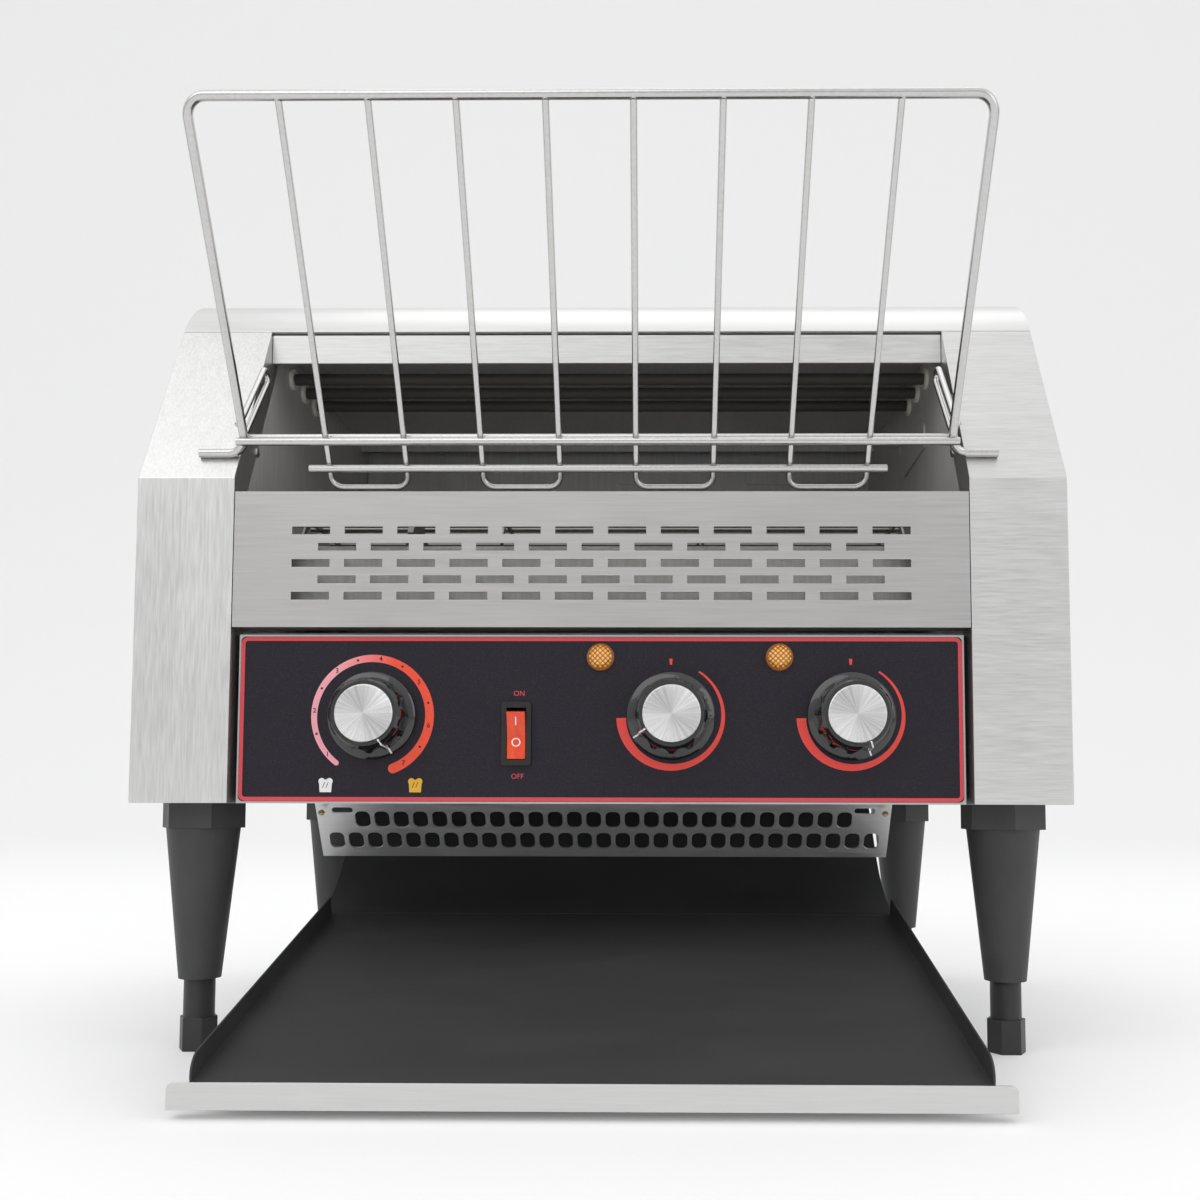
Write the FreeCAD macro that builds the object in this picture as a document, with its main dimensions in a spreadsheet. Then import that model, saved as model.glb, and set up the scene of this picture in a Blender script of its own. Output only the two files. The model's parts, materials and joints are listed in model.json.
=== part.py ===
import FreeCAD, Part
import math
import os
import Sketcher
from FreeCAD import Placement, Rotation, Vector

# A conveyor toaster: bread goes in over a wire rack at the top of the front, rides a wire
# belt between heating tubes, drops off the back and slides out on a tray under the front.
# Millimetres. +Z up, +X to the right seen from the front, +Y to the back. The origin is on
# the table, under the middle of the machine.

SIZES = dict(
    # body
    body_width=468.0,  # over the two side casings
    body_depth=312.0,  # front faces to back cover
    leg_height=126.0,  # table to underside of the body
    knee_height=164.0,  # underside to where the front starts to slope back
    slope_rise=96.5,
    slope_setback=52.0,
    roof_bend=58.0,  # radius of the rounded front of the roof
    roof_back_bend=8.0,
    roof_back_drop=22.0,
    casing_strip=49.0,  # width of each casing's front strip
    casing_lip=12.0,  # rims that carry the roof and the back cover
    return_depth=18.0,  # inner return flange of the front strip
    sheet=1.0,
    plate=1.2,  # inner side plates
    pan=1.5,
    seat=0.15,  # room between sheets that lie on each other
    # front
    vent_foot=88.0,
    vent_height=69.0,
    vent_return=12.0,
    vent_slot_width=19.0,
    vent_slot_height=3.8,
    vent_slot_step=26.5,
    vent_row_step=8.3,
    panel_recess=6.0,
    panel_height=85.0,
    panel_room=2.5,  # control panel inside the front strips
    panel_return=14.0,
    overlay=0.4,
    lintel_drop=17.5,  # lower edge under the roof's front seam
    lintel_height=16.0,
    # controls, measured from the underside of the body and from the middle
    knob_height=43.9,
    speed_knob_x=-114.5,
    upper_knob_x=35.4,
    lower_knob_x=125.6,
    lamp_height=73.6,
    lamp_left_x=0.0,
    lamp_right_x=89.8,
    switch_x=-42.0,
    switch_height=35.0,
    knob_ring=44.0,
    knob_grip=38.0,
    knob_cap=28.7,
    knob_depth=19.0,
    knob_gap=0.4,  # knob to panel
    spindle=6.0,
    bushing=9.8,
    control_depth=12.0,
    lamp_barrel=10.8,
    lamp_ring=13.9,
    lamp_lens=11.6,
    switch_width=12.2,
    switch_body=28.4,
    bezel_width=14.8,
    bezel_height=31.9,
    bezel_depth=2.0,
    rocker_width=9.0,
    rocker_length=23.6,
    rocker_tilt=9.0,
    # chute and tray
    chute_half=164.0,
    chute_bend=90.0,
    chute_slope=52.0,
    mouth=62.0,  # opening in the pan that the toast falls through
    tray_slope=13.3,
    tray_width=322.0,
    tray_reach=106.0,  # tray front ahead of the body's front
    tray_length=208.0,
    tray_wall=10.5,
    tray_clearance=4.0,  # front bar above the table
    tray_gap=1.0,  # between the tray and the chute
    bar_width=340.0,
    bar_height=11.0,
    tray_shift=2.0,  # as photographed, a little to one side
    bar_round=3.0,
    hook_inset=14.0,
    hook_drop=5.0,
    hook_plate=1.0,
    arm_x=110.0,
    arm_depth=16.0,
    arm_plate=3.0,
    deflector_half=152.4,
    deflector_setback=40.0,
    deflector_drop=29.0,
    deflector_lean=33.0,
    deflector_hole_step=10.25,
    # belt
    belt_pitch=12.7,
    belt_rod=2.4,
    belt_half=162.0,
    front_shaft_setback=42.0,
    shaft_height=125.5,
    shaft=10.0,
    running=0.05,  # radial room of a turning fit
    sprocket_plate=3.0,
    sprocket_step=100.0,
    # heaters
    heater=6.5,
    heater_end=6.0,  # tube ends beyond the side plates' inner faces
    upper_heater_height=248.0,
    upper_heater_setback=92.0,
    upper_heater_step=23.5,
    lower_heater_step=38.0,
    # rack
    rack_lean=33.8,
    rack_height=161.0,
    rack_side_room=6.0,  # rack sides inside the front strips
    rack_wire=4.5,
    rack_bar_wire=4.0,
    rack_thin_wire=3.2,
    rack_shift=-2.0,
    rack_corner=9.0,
    rack_bar_height=7.0,
    rack_low_bar=7.0,
    rack_low_overhang=9.5,  # low bar beyond the outer hooked wires
    rack_hook_drop=18.0,
    hairpin_lean=40.0,  # backwards from upright
    hairpin=52.0,
    hairpin_width=8.0,
    rack_foot=178.0,  # where the rest ends lie on the slope, above the underside
    hook_pitch=78.5,
    hook_width=39.6,
    # legs
    leg_inset=26.6,
    leg_front_setback=30.2,
    leg_back_setback=285.4,
    collar=37.5,  # across flats
    collar_height=12.7,
    leg_top=36.6,
    leg_tip=21.0,
    leg_taper=77.0,
    foot=15.5,
    foot_hex=17.0,
    foot_hex_height=17.0,
    foot_stud=10.0,
    foot_bore=30.0,
    collar_turn=30.0,
    # back
    guide_setback=277.0,
    inlet=18.0,
    inlet_inset=40.0,
    inlet_height=32.0,
)

TEETH = 12
BELT_STEPS = 14  # pitches between the two shafts
FLUTES = 12

doc = FreeCAD.newDocument("conveyor_toaster")
sheet = doc.addObject("Spreadsheet::Sheet", "sizes")
layout = doc.addObject("App::VarSet", "layout")


class Size:
    """A length, angle or count that knows its number and how the document spells it."""

    def __init__(self, number, text):
        self.number = float(number)
        self.text = text

    def __add__(self, other):
        other = size_of(other)
        return Size(self.number + other.number, f"({self.text} + {other.text})")

    def __sub__(self, other):
        other = size_of(other)
        return Size(self.number - other.number, f"({self.text} - {other.text})")

    def __mul__(self, other):
        other = size_of(other)
        return Size(self.number * other.number, f"({self.text} * {other.text})")

    def __truediv__(self, other):
        other = size_of(other)
        return Size(self.number / other.number, f"({self.text} / {other.text})")

    def __neg__(self):
        return Size(-self.number, f"(0 - {self.text})")

    def __radd__(self, other):
        return size_of(other) + self

    def __rsub__(self, other):
        return size_of(other) - self

    def __rmul__(self, other):
        return size_of(other) * self


def size_of(value):
    return value if isinstance(value, Size) else Size(value, repr(float(value)))


def root(value):
    return Size(math.sqrt(value.number), f"sqrt({value.text})")


def sine(angle):
    return Size(math.sin(math.radians(angle.number)), f"sin({angle.text})")


def cosine(angle):
    return Size(math.cos(math.radians(angle.number)), f"cos({angle.text})")


def tangent(angle):
    return sine(angle) / cosine(angle)


def arc_tangent(value):
    return Size(math.degrees(math.atan(value.number)), f"atan({value.text})")


def place(name, value):
    """A worked-out size with a name of its own in the document."""
    value = size_of(value)
    layout.addProperty("App::PropertyFloat", name)
    setattr(layout, name, value.number)
    layout.setExpression(name, value.text)
    return Size(value.number, f"layout.{name}")


class Sizes:
    """The driving sizes, one attribute each, read from the sheet."""


s = Sizes()
for row, (alias, number) in enumerate(SIZES.items(), start=1):
    sheet.set(f"A{row}", alias)
    sheet.set(f"B{row}", str(number))
    sheet.setAlias(f"B{row}", alias)
    setattr(s, alias, Size(number, f"sizes.{alias}"))
doc.recompute()

# Places that several pieces share
half = place("half", s.body_width / 2)
inner = place("inner", half - s.casing_strip)
front = place("front", (s.tray_reach - s.body_depth) / 2)
back = place("back", front + s.body_depth)
floor = place("floor", s.leg_height)
knee = place("knee", floor + s.knee_height)
seam_y = place("seam_y", front + s.slope_setback)
seam_z = place("seam_z", knee + s.slope_rise)
slope_length = place("slope_length", root(s.slope_setback * s.slope_setback + s.slope_rise * s.slope_rise))
lean_y = place("lean_y", s.slope_setback / slope_length)
lean_z = place("lean_z", s.slope_rise / slope_length)
slope_angle = place("slope_angle", arc_tangent(s.slope_setback / s.slope_rise))
knee_drop = place("knee_drop", (slope_length - s.slope_rise) / s.slope_setback)
bend_y = place("bend_y", seam_y + s.roof_bend * lean_z)
bend_z = place("bend_z", seam_z - s.roof_bend * lean_y)
roof = place("roof", bend_z + s.roof_bend)
pan_top = place("pan_top", floor + s.sheet + s.pan)
wall = place("wall", inner + s.sheet)  # inner faces of the side plates
span = place("span", (wall - s.seat) * 2)  # pieces that fill the width between the plates
panel_face = place("panel_face", front + s.panel_recess)
knob_face = place("knob_face", panel_face - s.overlay)
guide_y = place("guide_y", front + s.guide_setback)

# The tray meets the chute at a seam, and the chute bends up to its slope
tray_y = place("tray_y", front - s.tray_reach + s.sheet + s.seat)
tray_z = place("tray_z", s.tray_clearance + s.bar_height - s.sheet)
tray_run = place("tray_run", s.tray_length + s.tray_gap)
seam_under_y = place("seam_under_y", tray_y + tray_run * cosine(s.tray_slope))
seam_under_z = place("seam_under_z", tray_z + tray_run * sine(s.tray_slope))
chute_under = place("chute_under", s.chute_bend + s.sheet)
chute_cy = place("chute_cy", seam_under_y - chute_under * sine(s.tray_slope))
chute_cz = place("chute_cz", seam_under_z + chute_under * cosine(s.tray_slope))
bend_end_y = place("bend_end_y", chute_cy + s.chute_bend * sine(s.chute_slope))
bend_end_z = place("bend_end_z", chute_cz - s.chute_bend * cosine(s.chute_slope))
chute_top_y = place("chute_top_y", guide_y + s.sheet / 2)
chute_top_z = place("chute_top_z", bend_end_z + (chute_top_y - bend_end_y) * tangent(s.chute_slope))
mouth_back = place(
    "mouth_back",
    bend_end_y + (pan_top - bend_end_z) / tangent(s.chute_slope) + s.sheet / sine(s.chute_slope) + s.seat,
)
mouth_front = place("mouth_front", mouth_back - s.mouth)

# Belt, shafts and heating tubes
pitch_radius = place("pitch_radius", s.belt_pitch / (2 * math.sin(math.pi / TEETH)))
front_shaft_y = place("front_shaft_y", front + s.front_shaft_setback)
belt_run = place("belt_run", s.belt_pitch * BELT_STEPS)
back_shaft_y = place("back_shaft_y", front_shaft_y + belt_run)
belt_middle = place("belt_middle", front_shaft_y + belt_run / 2)
shaft_z = place("shaft_z", floor + s.shaft_height)
bush_outer = place("bush_outer", s.shaft * 1.6)
tube_sleeve = place("tube_sleeve", s.heater + 5.5)
upper_tubes_z = place("upper_tubes_z", floor + s.upper_heater_height)
upper_tubes_y = [front + s.upper_heater_setback + s.upper_heater_step * i for i in range(3)]
lower_tubes_y = [belt_middle + s.lower_heater_step * i for i in (-1, 0, 1)]

# Controls
knob_places = (s.speed_knob_x, s.upper_knob_x, s.lower_knob_x)
knob_z = place("knob_z", floor + s.knob_height)
lamp_z = place("lamp_z", floor + s.lamp_height)
switch_z = place("switch_z", floor + s.switch_height)
rocker_y = place("rocker_y", knob_face + 2.4)

# Panel, rack and legs
panel_half = place("panel_half", inner - s.panel_room)
heater_half = place("heater_half", wall + s.heater_end)
rack_half = place("rack_half", inner - s.rack_side_room)
inlet_x = place("inlet_x", s.inlet_inset - half)
rack_z = place("rack_z", floor + s.rack_foot)
rack_gap = s.rack_wire / 2 + s.seat
rack_y = place("rack_y", front + (rack_z - knee) * s.slope_setback / s.slope_rise - rack_gap / lean_z)
leg_x = place("leg_x", half - s.leg_inset)
leg_front_y = place("leg_front_y", front + s.leg_front_setback)
leg_back_y = place("leg_back_y", front + s.leg_back_setback)


# Document helpers


def bind(thing, prop, value):
    """Ties a property to sizes in the document."""
    value = size_of(value)
    thing.setExpression(prop, value.text)


def body(label):
    made = doc.addObject("PartDesign::Body", label)
    made.Label = label
    return made


def sketch(owner, plane, offset=0.0):
    """A sketch on one of the body's own planes, moved along the plane's normal."""
    drawn = owner.newObject("Sketcher::SketchObject", "Sketch")
    support = next(f for f in owner.Origin.OriginFeatures if f.Role == plane + "_Plane")
    drawn.AttachmentSupport = [(support, "")]
    drawn.MapMode = "FlatFace"
    bind(drawn, "AttachmentOffset.Base.z", offset)
    return drawn


def pin_point(drawn, edge, end, x, y):
    """Holds one end of an edge at a place measured from the sketch origin."""
    for kind, value in (("DistanceX", size_of(x)), ("DistanceY", size_of(y))):
        index = drawn.addConstraint(Sketcher.Constraint(kind, -1, 1, edge, end, value.number))
        bind(drawn, f"Constraints[{index}]", value)


def edge_between(start, finish, radius):
    """A straight edge, or an arc of less than a half turn: radius > 0 turns left, < 0 right."""
    a = Vector(size_of(start[0]).number, size_of(start[1]).number, 0)
    b = Vector(size_of(finish[0]).number, size_of(finish[1]).number, 0)
    if radius is None:
        return Part.LineSegment(a, b), 1, 2
    radius = size_of(radius).number
    chord = b - a
    rise = math.sqrt(max(radius * radius - chord.Length * chord.Length / 4, 0.0))
    across = Vector(-chord.y, chord.x, 0).normalize()
    centre = (a + b) * 0.5 + across * (rise if radius > 0 else -rise)
    first, last = (a, b) if radius > 0 else (b, a)
    begin = math.atan2(first.y - centre.y, first.x - centre.x)
    finish_angle = math.atan2(last.y - centre.y, last.x - centre.x)
    if finish_angle < begin:
        finish_angle += 2 * math.pi
    arc = Part.ArcOfCircle(Part.Circle(centre, Vector(0, 0, 1), abs(radius)), begin, finish_angle)
    return (arc, 1, 2) if radius > 0 else (arc, 2, 1)


def outline(drawn, points, closed=True):
    """Edges through (x, y) points. A third value is the radius of the arc to the next point."""
    count = len(points) if closed else len(points) - 1
    edges = []
    for i in range(count):
        radius = points[i][2] if len(points[i]) > 2 else None
        shape, begin, finish = edge_between(points[i], points[(i + 1) % len(points)], radius)
        edge = drawn.addGeometry(shape, False)
        edges.append((edge, begin, finish))
        pin_point(drawn, edge, begin, points[i][0], points[i][1])
        if radius is not None:
            spread = abs(size_of(radius).number)
            index = drawn.addConstraint(Sketcher.Constraint("Radius", edge, spread))
            bind(drawn, f"Constraints[{index}]", radius if size_of(radius).number > 0 else -size_of(radius))
    for i in range(count - 1 if not closed else count):
        one, other = edges[i], edges[(i + 1) % len(edges)]
        drawn.addConstraint(Sketcher.Constraint("Coincident", one[0], one[2], other[0], other[1]))
    if not closed:
        pin_point(drawn, edges[-1][0], edges[-1][2], points[-1][0], points[-1][1])
    return drawn


def rectangle(drawn, left, low, right, high):
    return outline(drawn, [(left, low), (right, low), (right, high), (left, high)])


def box_at(drawn, x, y, width, height, radius=None):
    """A rectangle about a middle, with rounded corners if a radius is given."""
    x, y = size_of(x), size_of(y)
    w, h = size_of(width) / 2, size_of(height) / 2
    if radius is None:
        return rectangle(drawn, x - w, y - h, x + w, y + h)
    r = size_of(radius)
    return outline(
        drawn,
        [
            (x - w + r, y - h),
            (x + w - r, y - h, r),
            (x + w, y - h + r),
            (x + w, y + h - r, r),
            (x + w - r, y + h),
            (x - w + r, y + h, r),
            (x - w, y + h - r),
            (x - w, y - h + r, r),
        ],
    )


def circle(drawn, x, y, diameter):
    x, y, radius = size_of(x), size_of(y), size_of(diameter) / 2
    round_edge = Part.Circle(Vector(x.number, y.number, 0), Vector(0, 0, 1), radius.number)
    edge = drawn.addGeometry(round_edge, False)
    pin_point(drawn, edge, 3, x, y)
    index = drawn.addConstraint(Sketcher.Constraint("Radius", edge, radius.number))
    bind(drawn, f"Constraints[{index}]", radius)
    return drawn


def polygon(drawn, x, y, flats, sides, turn=0.0):
    """A regular polygon given its width across flats."""
    x, y = size_of(x), size_of(y)
    reach = size_of(flats) / (2 * math.cos(math.pi / sides))
    corners = []
    for i in range(sides):
        angle = math.radians(turn) + 2 * math.pi * i / sides
        corners.append((x + reach * math.cos(angle), y + reach * math.sin(angle)))
    return outline(drawn, corners)


def pad(owner, drawn, length, both=False, back=False):
    made = owner.newObject("PartDesign::Pad", "Pad")
    made.Profile = drawn
    bind(made, "Length", length)
    made.SideType = "Symmetric" if both else "One side"
    made.Reversed = back
    return made


def pocket(owner, drawn, length=None, both=False, back=False):
    """Cuts a sketch out, against the sketch's normal unless back is set."""
    made = owner.newObject("PartDesign::Pocket", "Pocket")
    made.Profile = drawn
    made.SideType = "Symmetric" if both else "One side"
    made.Reversed = back
    if length is None:
        made.Type = "ThroughAll"
    else:
        bind(made, "Length", length)
    return made


def repeat(owner, feature, drawn, axis, step, count, axis2=None, step2=None, count2=1):
    """Repeats a feature along the sketch's axes."""
    made = owner.newObject("PartDesign::LinearPattern", "Pattern")
    made.Originals = [feature]
    made.Direction = (drawn, [axis])
    made.Mode = "Spacing"
    bind(made, "Offset", step)
    made.Occurrences = count
    if axis2:
        made.Direction2 = (drawn, [axis2])
        made.Mode2 = "Spacing"
        bind(made, "Offset2", step2)
        made.Occurrences2 = count2
        made.Spacings2 = [-1.0] * (count2 - 1)  # -1 stands for the offset
    owner.Tip = made
    return made


def around(owner, feature, drawn, count):
    """Repeats a feature round the sketch's normal."""
    made = owner.newObject("PartDesign::PolarPattern", "Pattern")
    made.Originals = [feature]
    made.Axis = (drawn, ["N_Axis"])
    made.Angle = 360
    made.Occurrences = count
    owner.Tip = made
    return made


def revolve(owner, drawn, axis="V_Axis"):
    made = owner.newObject("PartDesign::Revolution", "Revolution")
    made.Profile = drawn
    made.ReferenceAxis = (drawn, [axis])
    made.Angle = 360
    return made


def pipe(owner, path, section):
    made = owner.newObject("PartDesign::AdditivePipe", "Pipe")
    made.Profile = section
    made.Spine = (path, [])
    return made


def stand(thing, x=0.0, y=0.0, z=0.0, turn=None, about=(1, 0, 0)):
    """Puts a finished piece in its place, with a turn about one axis if given."""
    if turn is not None:
        thing.Placement = Placement(Vector(), Rotation(Vector(*about), 1.0))
        bind(thing, "Placement.Rotation.Angle", turn)
    for axis, value in zip("xyz", (x, y, z)):
        bind(thing, f"Placement.Base.{axis}", value)
    return thing


pieces = []


def keep(thing):
    pieces.append(thing)
    return thing




def shell_of(made, solid, side_of_face):
    """Hollows a padded block to sheet thickness, open at the face furthest along a direction."""
    doc.recompute()
    faces = solid.Shape.Faces
    reach = [face.CenterOfMass.dot(Vector(*side_of_face)) for face in faces]
    shell = made.newObject("PartDesign::Thickness", "Shell")
    shell.Base = (solid, [f"Face{reach.index(max(reach)) + 1}"])
    bind(shell, "Value", s.sheet)
    shell.Join = "Intersection"
    shell.Reversed = True
    made.Tip = shell
    return shell


# Body shell


def side_casing(label, side):
    """Outer side panel, front strip, sloping strip and rims, folded from one sheet."""
    made = body(label)
    top_radius = s.roof_bend - s.sheet - s.seat
    rear, top = back - s.sheet - s.seat, roof - s.sheet - s.seat
    drawn = sketch(made, "YZ", -half if side < 0 else inner)
    outline(
        drawn,
        [
            (front, floor),
            (front, knee),
            (seam_y, seam_z),
            (bend_y - top_radius * lean_z, bend_z + top_radius * lean_y, -top_radius),
            (bend_y, top),
            (back - s.roof_back_bend, top, s.sheet + s.seat - s.roof_back_bend),
            (rear, roof - s.roof_back_bend),
            (rear, floor),
        ],
    )
    shell_of(made, pad(made, drawn, s.casing_strip), (-side, 0, 0))
    # Only rims are left under the roof and the back cover
    rims = sketch(made, "YZ", -inner if side < 0 else inner)
    deep = s.roof_bend
    outline(
        rims,
        [
            (seam_y - lean_z * deep / 4, seam_z + lean_y * deep / 4),
            (seam_y + lean_z * deep, seam_z - lean_y * deep),
            (back - deep, pan_top),
            (back + deep, pan_top),
            (back + deep, roof + deep),
            (seam_y, roof + deep),
        ],
    )
    pocket(made, rims, s.casing_strip - s.casing_lip, back=side > 0)
    # Return flange behind the inner edge of the front strip
    flange = sketch(made, "YZ", -wall if side < 0 else inner)
    deep = s.return_depth
    outline(
        flange,
        [
            (front, floor),
            (front, knee),
            (seam_y, seam_z),
            (seam_y + deep * lean_z, seam_z - deep * lean_y),
            (front + deep, knee - deep * knee_drop),
            (front + deep, floor),
        ],
    )
    pad(made, flange, s.sheet)
    return keep(made)


def roof_cover():
    """One sheet over the whole width, rolled down to the sloping front and the back."""
    made = body("roof_cover")
    t = s.sheet
    bend, turn = s.roof_bend, s.roof_back_bend
    drawn = sketch(made, "YZ")
    outline(
        drawn,
        [
            (seam_y, seam_z, -bend),
            (bend_y, roof),
            (back - turn, roof, -turn),
            (back, roof - turn),
            (back, roof - s.roof_back_drop),
            (back - t, roof - s.roof_back_drop),
            (back - t, roof - turn, turn - t),
            (back - turn, roof - t),
            (bend_y, roof - t, bend - t),
            (seam_y + lean_z * t, seam_z - lean_y * t),
        ],
    )
    pad(made, drawn, s.body_width, both=True)
    # Folded hem above the bread opening
    hem = sketch(made, "YZ")
    fold = t * 7
    outline(
        hem,
        [
            (seam_y, seam_z),
            (seam_y + lean_y * t, seam_z + lean_z * t),
            (seam_y + lean_y * t + lean_z * fold, seam_z + lean_z * t - lean_y * fold),
            (seam_y + lean_z * fold, seam_z - lean_y * fold),
        ],
    )
    pad(made, hem, (inner - s.seat) * 2, both=True)
    return keep(made)


def back_cover():
    made = body("back_cover")
    drawn = sketch(made, "XZ", -back)
    rectangle(drawn, -half, floor, half, roof - s.roof_back_drop - s.seat)
    pad(made, drawn, s.sheet)
    slots = sketch(made, "XZ", -back)
    for x in (-110.0, 0.0, 110.0):
        box_at(slots, x, floor + 150.0, 70.0, 4.0)
    cut = pocket(made, slots, s.sheet * 4, both=True)
    repeat(made, cut, slots, "V_Axis", 11.0, 8)
    inlet = sketch(made, "XZ", -back)
    circle(inlet, inlet_x, floor + s.inlet_height, s.inlet + s.running * 2)
    pocket(made, inlet, s.sheet * 4, both=True)
    return keep(made)


def base_pan():
    made = body("base_pan")
    drawn = sketch(made, "XY", floor + s.sheet)
    edge = half - s.sheet - s.seat
    # Narrower at the front, between the side flanges of the fascia
    near, step = panel_face + s.sheet + s.seat, panel_face + s.panel_return + s.seat
    rear, narrow = back - (s.sheet + s.seat) * 2, panel_half - s.sheet - s.seat
    outline(
        drawn,
        [
            (-narrow, near),
            (narrow, near),
            (narrow, step),
            (edge, step),
            (edge, rear),
            (-edge, rear),
            (-edge, step),
            (-narrow, step),
        ],
    )
    rectangle(drawn, -(s.chute_half + 8), mouth_front, s.chute_half + 8, mouth_back)
    pad(made, drawn, s.pan)
    return keep(made)


def return_chute():
    """The slide behind and under the belt, bent out to the tray."""
    made = body("return_chute")
    drawn = sketch(made, "YZ")
    t = s.sheet
    steep, flat = s.chute_slope, s.tray_slope
    outline(
        drawn,
        [
            (chute_cy + s.chute_bend * sine(flat), chute_cz - s.chute_bend * cosine(flat), s.chute_bend),
            (bend_end_y, bend_end_z),
            (chute_top_y, chute_top_z),
            (chute_top_y + t * sine(steep), chute_top_z - t * cosine(steep)),
            (chute_cy + chute_under * sine(steep), chute_cz - chute_under * cosine(steep), -chute_under),
            (seam_under_y, seam_under_z),
        ],
    )
    pad(made, drawn, span, both=True)
    # Below the pan the sheet is narrower, to pass through the mouth
    trim = sketch(made, "XZ")
    for side in (-1, 1):
        rectangle(trim, s.chute_half * side, floor - s.body_depth, half * side, pan_top + 6)
    pocket(made, trim, s.body_depth * 4, both=True)
    return keep(made)


def inner_plate(label, side):
    """Side plate that carries the shafts, the tubes and the chute."""
    made = body(label)
    drawn = sketch(made, "YZ", -wall - s.plate if side < 0 else wall)
    deep = s.return_depth * 0.6
    top = roof - s.sheet - s.casing_lip
    rear = guide_y + s.sheet + 8
    outline(
        drawn,
        [
            (front + deep, pan_top),
            (front + deep, knee - deep * knee_drop),
            (seam_y + deep * lean_z, seam_z - deep * lean_y),
            (seam_y + deep * lean_z + (top - seam_z + deep * lean_y), top),
            (rear, top),
            (rear, pan_top),
        ],
    )
    pad(made, drawn, s.plate)
    holes = sketch(made, "YZ", -wall if side < 0 else wall)
    for y in (front_shaft_y, back_shaft_y):
        circle(holes, y, shaft_z, bush_outer + s.running * 2)
    for y in upper_tubes_y:
        circle(holes, y, upper_tubes_z, tube_sleeve + s.running * 2)
    for y in lower_tubes_y:
        circle(holes, y, shaft_z, tube_sleeve + s.running * 2)
    for y, z in ((39.0, 243.6), (33.0, 230.5), (31.0, 208.0)):
        box_at(holes, front + y, floor + z, 1.6, 6.5)
    pocket(made, holes, s.plate * 4, both=True)
    return keep(made)


def wall_bracket():
    """Slotted plate on the right side plate, under the upper tubes."""
    made = body("wall_bracket")
    drawn = sketch(made, "YZ", wall - s.seat - s.plate)
    corners = (
        (96.0, 209.0),
        (150.0, 206.0),
        (176.0, 214.0),
        (190.0, 228.0),
        (168.0, 238.0),
        (128.0, 238.0),
        (112.0, 234.0),
        (96.0, 222.0),
    )
    outline(drawn, [(front + y, floor + z) for y, z in corners])
    box_at(drawn, front + 147.0, floor + 226.0, 34.0, 6.0, 2.5)
    circle(drawn, front + 108.0, floor + 216.0, 4.5)
    pad(made, drawn, s.plate)
    return keep(made)


def channel(label, y0, y1, z, drop, width):
    """A plate with both long edges folded: down if drop is positive, up if negative."""
    made = body(label)
    t = s.sheet
    t_z = t if size_of(drop).number > 0 else -t
    drawn = sketch(made, "YZ")
    outline(
        drawn,
        [
            (y0, z - drop),
            (y0, z),
            (y1, z),
            (y1, z - drop),
            (y1 - t, z - drop),
            (y1 - t, z - t_z),
            (y0 + t, z - t_z),
            (y0 + t, z - drop),
        ],
    )
    pad(made, drawn, width, both=True)
    return keep(made)


def front_lintel():
    """Strip above the mouth, folded back under the roof's hem."""
    made = body("front_lintel")
    drawn = sketch(made, "YZ")
    t = s.sheet
    y, low, high = seam_y + t, seam_z - s.lintel_drop, seam_z - s.lintel_drop + s.lintel_height
    deep = 20.0
    outline(
        drawn,
        [
            (y, low),
            (y, high),
            (y + deep * lean_z, high - deep * lean_y),
            (y + deep * lean_z - t * lean_y, high - deep * lean_y - t * lean_z),
            (y + t, high - t * 2),
            (y + t, low),
        ],
    )
    pad(made, drawn, (inner - s.seat) * 2, both=True)
    return keep(made)


def vent_panel():
    """Slotted front guard under the mouth, folded back on all four edges."""
    made = body("vent_panel")
    edge = inner - s.seat * 2
    z = floor + s.vent_foot
    drawn = sketch(made, "XZ", -(front + s.vent_return))
    rectangle(drawn, -edge, z, edge, z + s.vent_height)
    shell_of(made, pad(made, drawn, s.vent_return), (0, 1, 0))
    middle = z + s.vent_height * 0.47
    for rows, count, low in ((3, 12, -2), (2, 11, -1)):
        slots = sketch(made, "XZ", -(front + s.sheet / 2))
        x = s.vent_slot_step * (-(count - 1) / 2)
        box_at(slots, x, middle + s.vent_row_step * low, s.vent_slot_width, s.vent_slot_height)
        cut = pocket(made, slots, s.sheet * 3, both=True)
        repeat(made, cut, slots, "H_Axis", s.vent_slot_step, count, "V_Axis", s.vent_row_step * 2, rows)
    return keep(made)


def control_holes(drawn, room=0.0):
    for x in knob_places:
        circle(drawn, x, knob_z, s.bushing + room)
    for x in (s.lamp_left_x, s.lamp_right_x):
        circle(drawn, x, lamp_z, s.lamp_barrel + room)
    box_at(drawn, s.switch_x, switch_z, s.switch_width + room, s.switch_body + room)


def control_fascia():
    """Folded steel plate that carries the controls."""
    made = body("control_fascia")
    drawn = sketch(made, "XZ", -(panel_face + s.panel_return))
    rectangle(drawn, -panel_half, floor, panel_half, floor + s.panel_height)
    shell_of(made, pad(made, drawn, s.panel_return), (0, 1, 0))
    holes = sketch(made, "XZ", -(panel_face + s.sheet / 2))
    control_holes(holes, s.seat)
    pocket(made, holes, s.sheet * 3, both=True)
    return keep(made)


def panel_overlay():
    made = body("panel_overlay")
    drawn = sketch(made, "XZ", -panel_face)
    middle = floor + s.panel_height / 2
    box_at(drawn, 0.0, middle, (panel_half - 1.0) * 2, s.panel_height - 2.0, 2.5)
    control_holes(drawn, s.seat * 2)
    pad(made, drawn, s.overlay)
    return keep(made)


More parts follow.
